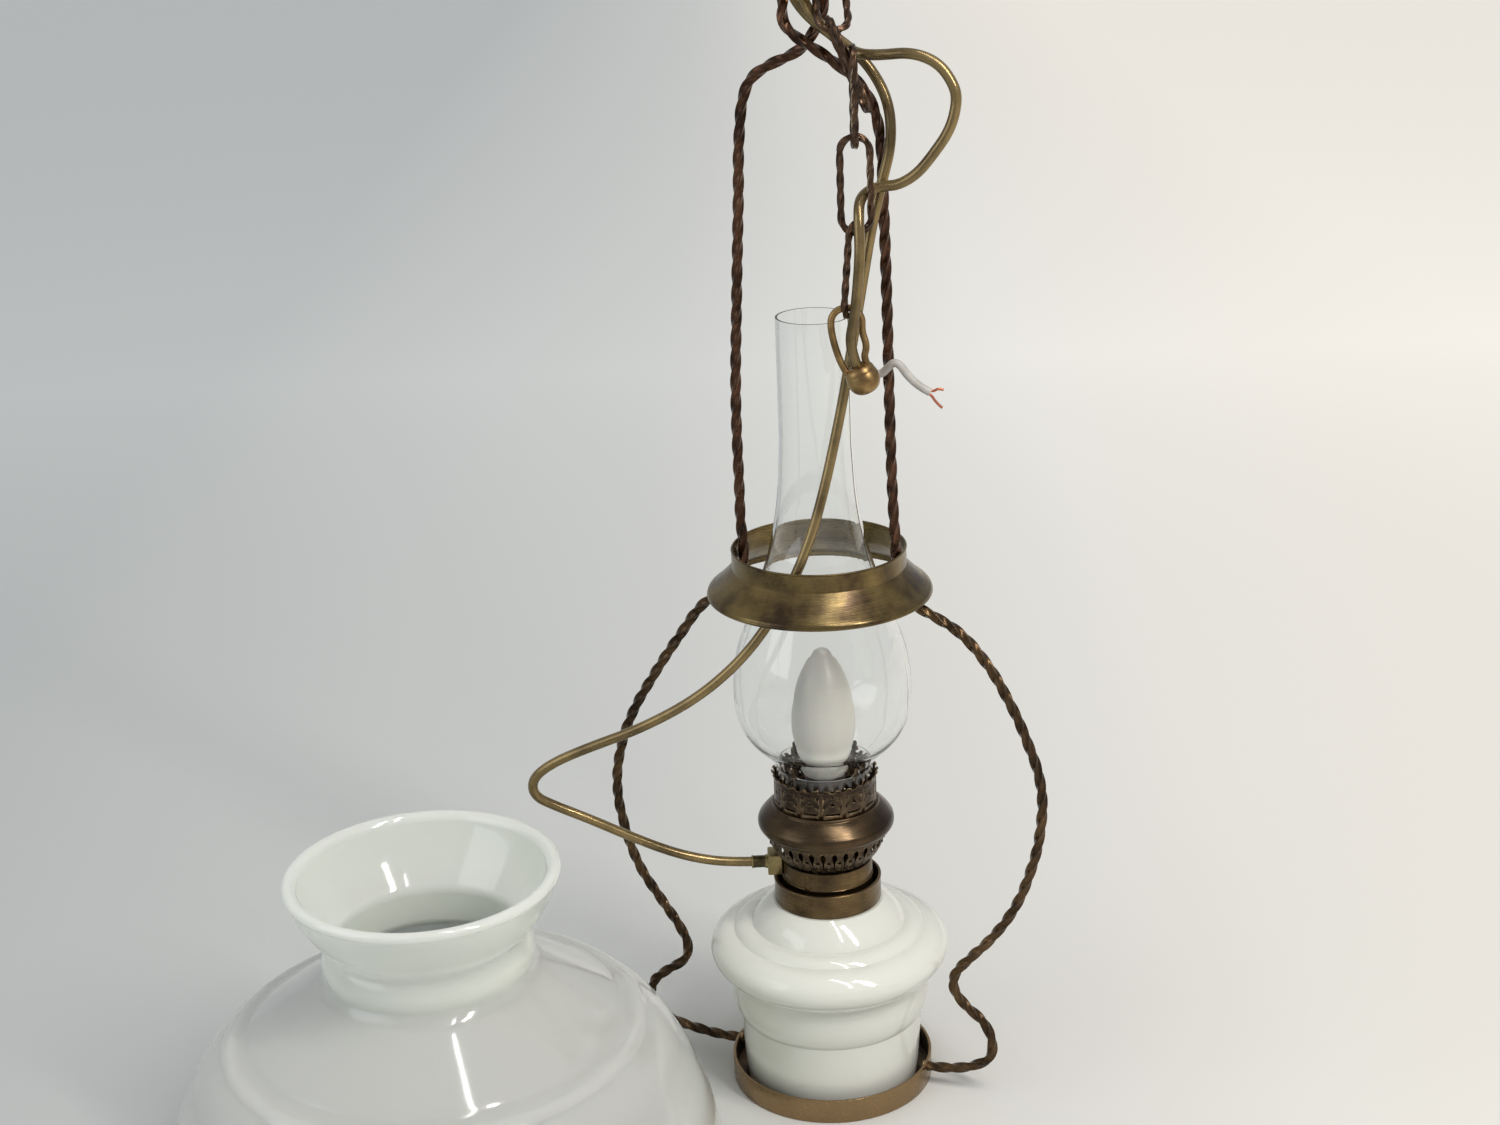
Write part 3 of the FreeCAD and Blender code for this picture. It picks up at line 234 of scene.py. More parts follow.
gold_sleeve, tree, shader = new_finish("gold_sleeve")
tree.links.new(dull(tree, (0.27, 0.195, 0.088), (0.095, 0.068, 0.033), 0.8, 38), shader.inputs["Base Color"])
settle(shader, Metallic=0.75)
tree.links.new(spread(tree, speckle(tree, 90), 0.16, 0.32, 0.3, 0.7), shader.inputs["Roughness"])
relief(tree, shader, speckle(tree, 420, 3), 0.18, 0.0004)
CORD_RADIUS = 0.0027
supply_route = [
    (-0.03154, -0.01148, 0.1345), (-0.04727, -0.0172, 0.1345), (-0.0635, -0.0245, 0.1374),
    (-0.0801, -0.0323, 0.1438), (-0.0993, -0.0425, 0.1555), (-0.1192, -0.053, 0.1689),
    (-0.1355, -0.061, 0.1785), (-0.1455, -0.0668, 0.186), (-0.145, -0.0687, 0.1971),
    (-0.1325, -0.0684, 0.208), (-0.1106, -0.0658, 0.2188), (-0.0829, -0.061, 0.2304),
    (-0.0528, -0.0554, 0.248), (-0.0284, -0.0508, 0.2703), (-0.0114, -0.0462, 0.2937),
    (0.0002, -0.0409, 0.3161), (0.0074, -0.0346, 0.337), (0.012, -0.027, 0.3577), (0.016, -0.0187, 0.3823),
    (0.0206, -0.0143, 0.408), (0.0254, -0.0121, 0.4365), (0.0302, -0.0103, 0.4647),
    (0.035, -0.0091, 0.4925), (0.0401, -0.0072, 0.5149), (0.0455, -0.0053, 0.5354),
    (0.0437, -0.0032, 0.5556), (0.0341, -0.0025, 0.5723), (0.0214, -0.0018, 0.5832),
    (0.0079, -0.004, 0.5921), (-0.0016, -0.007, 0.6029), (-0.0083, -0.0073, 0.6177),
    (-0.0104, -0.007, 0.6328), (-0.0096, -0.0109, 0.6481), (-0.0047, -0.023, 0.6585),
    (0.0021, -0.0375, 0.6553), (0.006, -0.0414, 0.6438), (0.0068, -0.0348, 0.6282),
    (0.0061, -0.0233, 0.6146), (0.0042, -0.0123, 0.6031), (0.0111, -0.0093, 0.5927),
    (0.0201, -0.0076, 0.5849), (0.0292, -0.0096, 0.579), (0.0422, -0.0123, 0.5789),
    (0.0582, -0.0139, 0.5807), (0.0714, -0.0134, 0.576), (0.0795, -0.0147, 0.5658),
    (0.081, -0.0142, 0.5575), (0.0793, -0.0144, 0.55075),
]
cord = add_piece("gold_cord_supply", cord_line("gold_cord_supply", supply_route, CORD_RADIUS), "lamp", gold_sleeve,
                 "gold_cord", "cord_supply")

# Cord tail: the same cable from the loop's end down through the swinging links into the
# grip, made as a mesh tube.
tail_route = [
    (0.0793, -0.0144, 0.55073), (0.0776, -0.0146, 0.544), (0.0683, -0.0145, 0.5311),
    (0.0603, -0.0132, 0.5219), (0.0509, -0.0129, 0.5162), (0.0422, -0.0128, 0.5154),
    (0.0362, -0.015, 0.5137), (0.0336, -0.0229, 0.5106), (0.0351, -0.0303, 0.5032),
    (0.0364, -0.0329, 0.4874), (0.035, -0.0328, 0.4709), (0.0331, -0.033, 0.4547),
    (0.028, -0.02918, 0.43606), (0.03414, -0.02695, 0.42206),
]
bare_line = cord_line("tail_line", tail_route, 0)
bare_line.use_fill_caps = False
tail_places = [corner.co.copy() for corner in
               bpy.data.meshes.new_from_object(bpy.data.objects.new("tail_line", bare_line)).vertices]
tail_mesh = bpy.data.meshes.new_from_object(
    bpy.data.objects.new("tail_tube", cord_line("tail_tube", tail_route, CORD_RADIUS)))
tail = bpy.data.objects.new("gold_cord_tail", tail_mesh)
scene.collection.objects.link(tail)
tail_mesh.materials.clear()
tail_mesh.materials.append(gold_sleeve)
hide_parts("cord_tail")
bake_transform(tail)

# Stripped lead: the grey inner cable of 4.2 mm that comes out of the grip's side, and the
# two bare copper strands at its cut end.
grey_sheath, tree, shader = new_finish("grey_sheath")
tree.links.new(dull(tree, (0.46, 0.44, 0.41), (0.30, 0.28, 0.25), 0.5, 120), shader.inputs["Base Color"])
settle(shader, Roughness=0.5)
relief(tree, shader, speckle(tree, 500), 0.2, 0.0003)
LEAD_RADIUS, STRAND_RADIUS = 0.0021, 0.0007
lead_route = [
    (0.03688, -0.01844, 0.41965), (0.03735, -0.01506, 0.4204), (0.0405, -0.0138, 0.4199),
    (0.0442, -0.0146, 0.4236), (0.0475, -0.0155, 0.427), (0.051, -0.016, 0.4261), (0.055, -0.0156, 0.4202),
    (0.0609, -0.0145, 0.4145), (0.0658, -0.0133, 0.4118),
]
lead = add_piece("grey_lead", cord_line("grey_lead", lead_route, LEAD_RADIUS), "chain_tail", grey_sheath,
                 "grey_lead", "inner_lead")
copper, tree, shader = new_finish("copper")
tree.links.new(dull(tree, (0.62, 0.22, 0.13), (0.30, 0.07, 0.05), 0.6, 700), shader.inputs["Base Color"])
settle(shader, Metallic=0.9, Roughness=0.35)
for name, node, route in (
    ("strand_upper", "copper_strand_upper", [
        (0.06635, -0.01317, 0.41269), (0.06746, -0.01289, 0.41208), (0.0699, -0.0126, 0.4139),
        (0.0723, -0.0116, 0.4129),
    ]),
    ("strand_lower", "copper_strand_lower", [
        (0.06539, -0.0134, 0.41084), (0.0665, -0.01313, 0.41023), (0.0686, -0.0128, 0.4066),
        (0.0716, -0.0116, 0.4035),
    ]),
):
    add_piece(name, cord_line(name, route, STRAND_RADIUS), "chain_tail", copper, "copper", node)


# Twisted bars: the hanger with its eye and the two harp arms are square brass bar, 4.6 mm
# thick, twisted cold once in 47 or 42 mm, bent to shape and left to darken.
def mesh_of(*curves):
    """Mesh of the first curve, made with the others in the scene for a moment."""
    holders = [bpy.data.objects.new("curve_holder", curve) for curve in curves]
    for holder in holders:
        scene.collection.objects.link(holder)
    if len(holders) > 1:
        curves[0].bevel_mode = "OBJECT"
        curves[0].bevel_object = holders[1]
    mesh = bpy.data.meshes.new_from_object(holders[0].evaluated_get(bpy.context.evaluated_depsgraph_get()))
    for holder in holders:
        bpy.data.objects.remove(holder)
    return mesh


def measured_out(corners, count):
    """Places that part a line through corners in count equal steps."""
    lengths = [(after - before).length for before, after in zip(corners, corners[1:])]
    places, walked, number = [corners[0]], 0, 0
    for mark in range(1, count):
        goal = sum(lengths) * mark / count
        while walked + lengths[number] < goal:
            walked += lengths[number]
            number += 1
        places.append(corners[number].lerp(corners[number + 1], (goal - walked) / lengths[number]))
    return [*places, corners[-1]]


def even_steps(points, step):
    """Places at equal steps along a smooth line through points."""
    line = bpy.data.curves.new("centre_line", "CURVE")
    line.dimensions = "3D"
    line.resolution_u = 24
    spline = line.splines.new("BEZIER")
    spline.bezier_points.add(len(points) - 1)
    for bend, point in zip(spline.bezier_points, points):
        bend.co = point
        bend.handle_left_type = bend.handle_right_type = "AUTO"
    fine = [corner.co.copy() for corner in mesh_of(line).vertices]
    length = sum((after - before).length for before, after in zip(fine, fine[1:]))
    return measured_out(fine, round(length / step))


def square_section(side):
    """Outline of a square bar with rounded edges, its faces drawn in a little by the twisting."""
    outline = bpy.data.curves.new("bar_section", "CURVE")
    outline.dimensions = "2D"
    section = outline.splines.new("POLY")
    round_edge, hollow = side * 0.15, side * 0.055
    in_face = (0.17, 0.7), (0, 1), (-0.17, 0.7)
    corners = []
    for quarter in range(4):
        turned = Matrix.Rotation(math.radians(90 * quarter), 2)
        for turn in (0, 30, 60, 90):
            angle = math.radians(turn)
            corners.append(turned @ (Vector((math.cos(angle), math.sin(angle))) * round_edge
                                     + Vector((side / 2 - round_edge, side / 2 - round_edge))))
        corners += [turned @ Vector((side * along, side / 2 - hollow * draw)) for along, draw in in_face]
    section.points.add(len(corners) - 1)
    for place, corner in zip(section.points, corners):
        place.co = (*corner, 0, 1)
    section.use_cyclic_u = True
    return outline


def twisted_bar(name, places, side, twist, closed=False):
    """Mesh of a bar that turns by twist at each place of its line."""
    line = bpy.data.curves.new(name, "CURVE")
    line.dimensions = "3D"
    spline = line.splines.new("POLY")
    spline.points.add(len(places) - 1)
    for number, (point, place) in enumerate(zip(spline.points, places)):
        point.co = (*place, 1)
        point.tilt = twist * number
    line.use_fill_caps = not closed
    mesh = mesh_of(line, square_section(side))
    if closed:
        shape = bmesh.new()
        shape.from_mesh(mesh)
        bmesh.ops.remove_doubles(shape, verts=shape.verts, dist=side * 0.02)
        shape.to_mesh(mesh)
        shape.free()
    mesh.shade_smooth()
    return mesh


def bronze(name, light, dark, wear_and_highlight, scale, rough):
    """Dark brass: clouded colour, rubbed bright and given a painted highlight where edges stand out, pitted a little.
    """
    material, tree, shader = new_finish(name)
    ramped_tone = ramp(tree, speckle(tree, scale, 6, 0.62), (0.36, dark), (0.64, light))
    # Edges that stand out get a brighter colour: rubbed wear together with a painted highlight.
    edge = spread(tree, put(tree, "NewGeometry").outputs["Pointiness"], 0, 1, 0.505, 0.56)
    mix = put(tree, "Mix", data_type="RGBA")
    tree.links.new(edge, mix.inputs["Factor"])
    tree.links.new(ramped_tone, mix.inputs[6])
    mix.inputs[7].default_value = (*wear_and_highlight, 1)
    tree.links.new(mix.outputs[2], shader.inputs["Base Color"])
    settle(shader, Metallic=0.92)
    polish = spread(tree, speckle(tree, scale * 2.2), rough - 0.1, rough + 0.14, 0.3, 0.7)
    tree.links.new(polish, shader.inputs["Roughness"])
    relief(tree, shader, speckle(tree, scale * 7, 3), 0.3, 0.0003)
    return material


BAR_SIDE, HANGER_PITCH, HARP_PITCH, STEPS_PER_TWIST = 4.6 * MM, 47 * MM, 42 * MM, 24
red_brown = bronze("red_brown_bronze", (0.125, 0.062, 0.036), (0.034, 0.019, 0.013), (0.36, 0.22, 0.13), 70, 0.28)
golden_brown = bronze("golden_brown_bronze", (0.125, 0.076, 0.038), (0.036, 0.023, 0.014), (0.40, 0.27, 0.14), 60, 0.28)
for name, node, material, slot, route in (
    ("twisted_hanger", "hanger_bail", red_brown, "dark_bronze", [
        (-42.7, 0, 305), (-42.7, 0, 312.8), (-42.7, 0, 319), (-43.6, 0, 330), (-43.6, 0, 345),
        (-43.6, 0, 398), (-41, 0, 452), (-38, 0, 504), (-36, 0, 539), (-33, 0, 557), (-29, 0, 565),
        (-21, 1, 571), (-10, 2.5, 576), (-3, 3, 580), (3, 3, 587), (8, 2, 596), (11, 0, 608), (11, 0, 616),
        (7, 0, 625), (0, 0, 630), (-6, 0, 627), (-10, 0, 620), (-11, 0, 612), (-10.5, -1, 603),
        (-9.5, -4, 594), (-4, -6, 588), (5, -5.5, 582), (17, -4.5, 574), (29, -2.5, 563), (35, -1, 552),
        (38, 0, 536), (39, 0, 506), (40, 0, 455), (40.5, 0, 400), (41.6, 0, 345), (42.3, 0, 330),
        (42.7, 0, 319), (42.7, 0, 312.8), (42.7, 0, 305),
    ]),
    ("twisted_harp_left", "harp_left", golden_brown, "golden_bronze", [
        (-42.7, 0, 305), (-43.2, 0, 301), (-46.5, 0, 295.5), (-55, 0, 289.5), (-66, 0, 282), (-82, 0, 261),
        (-101, 0, 232), (-113, 0, 211), (-121, 0, 190), (-125, 0, 165), (-122, 0, 140), (-114, 0, 115),
        (-101, 0, 94), (-90, 0, 77), (-86.5, 0, 67), (-89, 0, 58), (-100, 0, 49), (-109, 0, 40),
        (-111, 0, 30), (-106, 0, 21), (-97, 0, 16), (-81, 0, 12.5), (-68, 0, 11), (-57, 0, 11),
    ]),
    ("twisted_harp_right", "harp_right", golden_brown, "golden_bronze", [
        (42.7, 0, 305), (43.2, 0, 301), (46.5, 0, 295.5), (55, 0, 289.5), (64, 0, 285), (76, 0, 278),
        (91, 0, 262), (103, 0, 242), (113, 0, 220), (121, 0, 194), (121, 0, 168), (115, 0, 140),
        (106, 0, 117), (93, 0, 97), (81, 0, 83), (73.5, 0, 73), (72.5, 0, 64), (79, 0, 54), (89, 0, 45),
        (94, 0, 34), (93, 0, 23), (84, 0, 16), (70, 0, 12), (57, 0, 11),
    ]),
):
    pitch = HANGER_PITCH if node == "hanger_bail" else HARP_PITCH
    places = even_steps([Vector(point) * MM for point in route], pitch / STEPS_PER_TWIST)
    add_piece(name, twisted_bar(name, places, BAR_SIDE, math.tau / STEPS_PER_TWIST), "lamp", material, slot, node)

# Chain: five long links of the same twisted bar, 3 mm thick, 51.5 mm long and 19 mm wide.
# The first three lie still in the cord's lacing, the last two swing below them.
LINK_SIDE, LINK_LENGTH, LINK_WIDTH, LINK_TWISTS = 3 * MM, 51.5 * MM, 19 * MM, 3
dark_link = bronze("dark_link_bronze", (0.13, 0.075, 0.045), (0.035, 0.022, 0.016), (0.45, 0.33, 0.22), 110, 0.3)
link_depth = LINK_SIDE * math.sqrt(2)
link_bend = (LINK_WIDTH - link_depth) / 2
link_straight = (LINK_LENGTH - link_depth) / 2 - link_bend
half_turn = [(link_bend * math.cos(math.radians(turn)), link_straight + link_bend * math.sin(math.radians(turn)))
             for turn in range(8, 180, 8)]
half_link = [(link_bend, link_straight), *half_turn, (-link_bend, link_straight)]
link_line = [(link_bend, 0), *half_link, *[(-across, -along) for across, along in half_link], (link_bend, 0)]
for number, (centre, course, side, body) in enumerate((
    ((12.75, 9.77, 606.62), (-0.032, -0.781, 0.623), (0.998, -0.06, -0.023), "lamp"),
    ((19.6, 27.68, 575.18), (0.377, 0.095, -0.921), (0.095, 0.986, 0.14), "lamp"),
    ((21.8, 34, 560.6), (0, 0, 1), (0, 1, 0), "lamp"),
    ((21.8, 34, 517.885), (0, 0, 1), (1, 0, 0), "chain_tail"),
    ((19.8, 34, 475.62), (0.085, 0, 1), (0.5, -0.87, 0), "chain_tail"),
), start=1):
    course = seen(*course).normalized()
    side = seen(*side)
    side = (side - course * side.dot(course)).normalized()
    places = [seen(*centre) + side * flat.x + course * flat.y
              for flat in measured_out([Vector(corner) for corner in link_line], LINK_TWISTS * STEPS_PER_TWIST)]
    name = f"twisted_link_{number}"
    add_piece(name, twisted_bar(name, places, LINK_SIDE, math.tau / STEPS_PER_TWIST, closed=True), body, dark_link,
              "dark_bronze", f"chain_link_{number}")

# Cord grip: a turned brass ball with a cone on top that the cord runs into, and a loop of
# round wire, 3.6 mm thick, bent through the last link and held in the ball.
polished, tree, shader = new_finish("rubbed_brass")
tree.links.new(dull(tree, (0.36, 0.235, 0.10), (0.15, 0.088, 0.042), 0.8, 120), shader.inputs["Base Color"])
settle(shader, Metallic=1)
tree.links.new(spread(tree, speckle(tree, 260), 0.28, 0.45, 0.3, 0.7), shader.inputs["Roughness"])
relief(tree, shader, speckle(tree, 900, 2), 0.12, 0.0002)
loop_route = [
    (0.03043, -0.0283, 0.4174), (0.02495, -0.0303, 0.4274), (0.0214, -0.03073, 0.438),
    (0.01949, -0.03015, 0.4465), (0.0195, -0.0293, 0.4525), (0.02337, -0.02767, 0.4566),
    (0.03023, -0.02518, 0.4566), (0.03425, -0.02393, 0.4515), (0.03403, -0.02507, 0.4445),
    (0.03681, -0.02512, 0.4372), (0.03493, -0.02666, 0.4308), (0.03854, -0.02535, 0.42474),
]
LOOP_WIRE_RADIUS = 0.0018
add_piece("hook_wire", cord_line("hook_wire", loop_route, LOOP_WIRE_RADIUS), "chain_tail", polished, "bright_brass",
          "hook_loop")


def dress(material, *names):
    """A finish for CAD nodes that keep their shape."""
    for name in names:
        for slot in nodes[name].material_slots:
            slot.material = material


dress(polished, "cord_grip")


# Holder ring: a band of sheet brass, 114 mm across and 14 mm high, with a lip turned in
# under the font; two rivets in its wall hold the feet of the harp.
def bow(start, via, end, steps):
    """Places on the arc from start through via to end, without the start."""
    start, via, end = Vector(start), Vector(via), Vector(end)
    chord, other = via - start, end - start
    turn = 2 * (chord.x * other.y - chord.y * other.x)
    middle = start + Vector((other.y * chord.length_squared - chord.y * other.length_squared,
                             chord.x * other.length_squared - other.x * chord.length_squared)) / turn
    first = start - middle
    sweep = first.angle_signed(end - middle)
    if (first.angle_signed(via - middle) > 0) != (sweep > 0):
        sweep -= math.copysign(math.tau, sweep)
    return [middle + Matrix.Rotation(-sweep * step / steps, 2) @ first for step in range(1, steps + 1)]


def finished(shape, name, sharp=35):
    """Mesh of a bmesh, smooth but for its sharp edges."""
    mesh = bpy.data.meshes.new(name)
    shape.to_mesh(mesh)
    shape.free()
    mesh.shade_smooth()
    mesh.set_sharp_from_angle(angle=math.radians(sharp))
    return mesh


def turned_round(corners, steps):
    """A closed outline of (radius, height) corners in millimetres, turned round the upright axis."""
    shape = bmesh.new()
    ring = [shape.verts.new((radius * MM, 0, height * MM)) for radius, height in corners]
    edges = [shape.edges.new(pair) for pair in zip(ring, ring[1:] + ring[:1])]
    bmesh.ops.spin(shape, geom=ring + edges, axis=(0, 0, 1), angle=math.tau, steps=steps, use_merge=True)
    return shape


MERGED = 0.01 * MM
SHARP_TURN = math.radians(40)


def spun(name, foot, outline, edge=0.2, steps=128, softened=0):
    """A piece turned round the lamp's axis from its closed outline of (radius, height) steps."""
    corners = []
    for step in outline:
        if len(step) == 4:
            corners += bow(corners[-1], step[:2], step[2:], 7)
        else:
            corners.append(Vector(step))
    for _ in range(softened):
        corners = [before.lerp(after, share) for before, after in zip(corners, corners[1:] + corners[:1])
                   for share in (0.25, 0.75)]
    shape = turned_round([(corner.x, corner.y + foot) for corner in corners], steps)
    bmesh.ops.remove_doubles(shape, verts=shape.verts, dist=MERGED)
    bmesh.ops.recalc_face_normals(shape, faces=shape.faces)
    if edge:
        sharp = [line for line in shape.edges if line.is_manifold and line.calc_face_angle() > SHARP_TURN]
        bmesh.ops.bevel(shape, geom=sharp, affect="EDGES", offset=edge * MM, segments=2, profile=0.5, material=-1)
    return finished(shape, name)


add_piece("holder_band", spun("holder_band", 0, [
    (57, 0), (57, 14), (55.4, 14), (55.4, 1.5), (44, 1.5), (44, 0),
], 0.45), "lamp", golden_brown, "golden_bronze", "holder_ring")
dress(golden_brown, "foot_rivets")


# Shade ring: spun from thin brass, with an upright collar for the shade's neck, a flare that
# it rests on, a rolled bead at the rim, and the fine rings that the spinning left.
def spun_brass(name, light, dark, rough, groove):
    """Brass with fine lines that run round the lamp's axis, and old stains."""
    material, tree, shader = new_finish(name)
    place = put(tree, "SeparateXYZ", {"Vector": put(tree, "TexCoord").outputs["Object"]})
    squares = [maths(tree, "MULTIPLY", place.outputs[axis], place.outputs[axis]) for axis in "XY"]
    radius = maths(tree, "SQRT", maths(tree, "ADD", *squares))
    lathe = put(tree, "CombineXYZ", {"X": radius, "Y": place.outputs["Z"]}).outputs["Vector"]
    lines = speckle(tree, 1500, 2, 0.5, lathe)
    stains = ramp(tree, speckle(tree, 45, 6, 0.62), (0.34, dark), (0.62, light))
    tree.links.new(stains, shader.inputs["Base Color"])
    settle(shader, Metallic=0.95)
    tree.links.new(spread(tree, lines, rough - 0.06, rough + 0.12, 0.3, 0.7), shader.inputs["Roughness"])
    relief(tree, shader, lines, groove, 0.0002)
    return material


olive_brass = spun_brass("olive_spun_brass", (0.21, 0.152, 0.062), (0.06, 0.04, 0.024), 0.25, 0.3)
add_piece("spun_shade_ring", spun("spun_shade_ring", 294, [
    (45.7, 25.7), (45.7, 15.4), (50.6, 9.2, 58.0, 3.0), (58.0, 1.2), (58.3, 0.2, 59.3, 0), (60.4, 0.6, 60.3, 1.7),
    (60.1, 2.5, 59.5, 3.4), (51.9, 10.1, 46.7, 15.9), (46.6, 25.2), (46.9, 25.7, 46.3, 26), (45.8, 26, 45.7, 25.7),
], 0.15), "lamp", olive_brass, "spun_brass", "shade_ring")

# Font: blown milk glass with a foot, a banded waist, a full bulge and two rings on its
# shoulder. It stands on the holder ring's lip; only its finish is given here.
def milk_glass(name, color, shade_color, scale, soft):
    """Opal glass: white, glossy, with faint clouds and a skin of clear glass."""
    material, tree, shader = new_finish(name)
    tree.links.new(ramp(tree, speckle(tree, scale, 3), (0.3, shade_color), (0.7, color)), shader.inputs["Base Color"])
    settle(shader, Roughness=0.09, IOR=1.52, Coat_Weight=0.35, Coat_Roughness=0.03)
    settle(shader, Subsurface_Weight=soft, Subsurface_Radius=(1, 1.05, 1), Subsurface_Scale=0.03 * soft)
    relief(tree, shader, speckle(tree, 22, 2), 0.05, 0.001)
    return material


dress(milk_glass("white_milk_glass", (0.755, 0.76, 0.695), (0.725, 0.735, 0.675), 14, 0.2), "font")

# Collar and burner base: a spun cup of darkened brass cemented on the font's neck, and the
# burner's drum that screws into it, with a soldered seam down its side.
cup_brass = spun_brass("brown_gold_brass", (0.165, 0.11, 0.052), (0.06, 0.04, 0.024), 0.25, 0.3)
dark_spun = spun_brass("dark_spun_brass", (0.095, 0.064, 0.036), (0.036, 0.025, 0.018), 0.23, 0.3)
add_piece("font_cup", spun("font_cup", 112, [
    (21.3, 0), (28.8, 0), (29.5, 0.3, 29.8, 1), (29.8, 12.9), (29.9, 13.8, 29.3, 14), (28.6, 14, 28.5, 13.2),
    (28.7, 12.4), (28.7, 1), (21.3, 1),
], 0.15), "lamp", cup_brass, "aged_brass", "font_collar")
add_piece("burner_drum", spun("burner_drum", 104, [
    (4, 9), (20, 9), (20, 0), (21, 0), (21, 9), (24.2, 9), (25, 9.2, 25.2, 10), (25.2, 22.4), (25.5, 22.8, 25.2, 23.2),
    (25.2, 33), (24.2, 33), (24.2, 10), (4, 10),
], 0.15), "lamp", cup_brass, "aged_brass", "burner_base")
seam = bmesh.new()
bmesh.ops.create_cube(seam, size=1)
bmesh.ops.scale(seam, verts=seam.verts, vec=Vector((0.5, 3.2, 21.5)) * MM)
bmesh.ops.bevel(seam, geom=seam.edges, affect="EDGES", offset=0.2 * MM, segments=2, profile=0.5, material=-1)
bmesh.ops.translate(seam, verts=seam.verts, vec=Vector((25.25, 0, 125)) * MM)
bmesh.ops.rotate(seam, verts=seam.verts, cent=(0, 0, 0), matrix=Matrix.Rotation(math.radians(-98), 3, "Z"))
add_piece("drum_seam", finished(seam, "drum_seam"), "lamp", cup_brass, "aged_brass")

# Gland: a square brass block with broken edges on the drum's side, and the flared tube that
# the cord comes out of.
GLAND_HEIGHT = 134.5
gland_brass = bronze("gland_brass", (0.125, 0.10, 0.045), (0.05, 0.04, 0.022), (0.30, 0.24, 0.11), 160, 0.32)
gland_turn = Matrix.Rotation(math.pi + view_turn, 3, "Z")
block = bmesh.new()
bmesh.ops.create_cube(block, size=1)
bmesh.ops.scale(block, verts=block.verts, vec=Vector((8.2, 12, 12)) * MM)
bmesh.ops.bevel(block, geom=block.edges, affect="EDGES", offset=0.7 * MM, segments=3, profile=0.5, material=-1)
bmesh.ops.translate(block, verts=block.verts, vec=Vector((29.1, 0, GLAND_HEIGHT)) * MM)
bmesh.ops.rotate(block, verts=block.verts, cent=(0, 0, 0), matrix=gland_turn)
add_piece("gland_body", finished(block, "gland_body"), "lamp", gland_brass, "bright_brass", "gland_block")
tube = turned_round(
    [(3.0, 0), (3.9, 0), (3.9, 1.2), (3.4, 1.6), (3.4, 7.6), (3.7, 8.4), (3.5, 9), (3.0, 9)], 40)
bmesh.ops.recalc_face_normals(tube, faces=tube.faces)
bmesh.ops.rotate(tube, verts=tube.verts, cent=(0, 0, 0), matrix=Matrix.Rotation(math.pi / 2, 3, "Y"))
bmesh.ops.translate(tube, verts=tube.verts, vec=Vector((33.2, 0, GLAND_HEIGHT)) * MM)
bmesh.ops.rotate(tube, verts=tube.verts, cent=(0, 0, 0), matrix=gland_turn)
add_piece("gland_spout", finished(tube, "gland_spout"), "lamp", gland_brass, "bright_brass", "gland_tube")


# Pierced galleries: strips of thin brass, punched flat with a row of openings and then
# spun to their shape. The lower one has keyhole arches between dots and a cut foot.
SHEET, CUTS_ROUND = 0.6 * MM, 100


def lobes(across, up, middle, swell, count, lean):
    """Outline of a leaf with rounded lobes."""
    return [(across + (middle + swell * math.cos(count * (turn - lean))) * math.cos(turn),
             up + (middle + swell * math.cos(count * (turn - lean))) * math.sin(turn))
            for turn in (math.tau * step / 30 for step in range(30))]


def pierced(name, count, border, openings, rise, body, material, slot, node, start=0.0):
    """A punched strip bent round the axis. rise is (height on the strip, radius, height) rows."""
    left = min(across for across, _ in border)
    width = max(across for across, _ in border) - left
    sheet = bpy.data.curves.new(name, "CURVE")
    sheet.dimensions = "2D"
    sheet.fill_mode = "BOTH"
    for outline in (border, *openings):
        spline = sheet.splines.new("POLY")
        spline.points.add(len(outline) - 1)
        for place, corner in zip(spline.points, outline):
            place.co = (*corner, 0, 1)
        spline.use_cyclic_u = True
    shape = bmesh.new()
    shape.from_mesh(mesh_of(sheet))
    bmesh.ops.remove_doubles(shape, verts=shape.verts, dist=0.001)
    cuts = max(2, round(CUTS_ROUND / count))
    folds = [((left + width * cut / cuts, 0, 0), (1, 0, 0)) for cut in range(1, cuts)]
    folds += [((0, height, 0), (0, 1, 0)) for height, _, _ in rise[1:-1]]
    for place, course in folds:
        bmesh.ops.bisect_plane(shape, geom=shape.verts[:] + shape.edges[:] + shape.faces[:], plane_co=place,
                               plane_no=course)
    flat = shape.verts[:] + shape.edges[:] + shape.faces[:]
    for number in range(1, count):
        made = bmesh.ops.duplicate(shape, geom=flat)["geom"]
        bmesh.ops.translate(shape, verts=[item for item in made if isinstance(item, bmesh.types.BMVert)],
                            vec=(width * number, 0, 0))
    for corner in shape.verts:
        turn = start + math.tau * (corner.co.x - left) / (width * count)
        for (low, low_radius, low_height), (high, high_radius, high_height) in zip(rise, rise[1:]):
            if corner.co.y <= high or high == rise[-1][0]:
                break
        share = (corner.co.y - low) / (high - low)
        radius = low_radius + (high_radius - low_radius) * share
        corner.co = (radius * math.cos(turn) * MM, radius * math.sin(turn) * MM,
                     (low_height + (high_height - low_height) * share) * MM)
    bmesh.ops.remove_doubles(shape, verts=shape.verts, dist=MERGED)
    bmesh.ops.dissolve_degenerate(shape, edges=shape.edges, dist=MERGED)
    bmesh.ops.recalc_face_normals(shape, faces=shape.faces)
    widest = max(shape.faces, key=lambda face: face.calc_area())
    if widest.normal.xy.dot(widest.calc_center_median().xy) < 0:
        bmesh.ops.reverse_faces(shape, faces=shape.faces)
    piece = add_piece(name, finished(shape, name, 30), body, material, slot, node)
    wall = piece.modifiers.new("sheet", "SOLIDIFY")
    wall.thickness, wall.offset = SHEET, -1


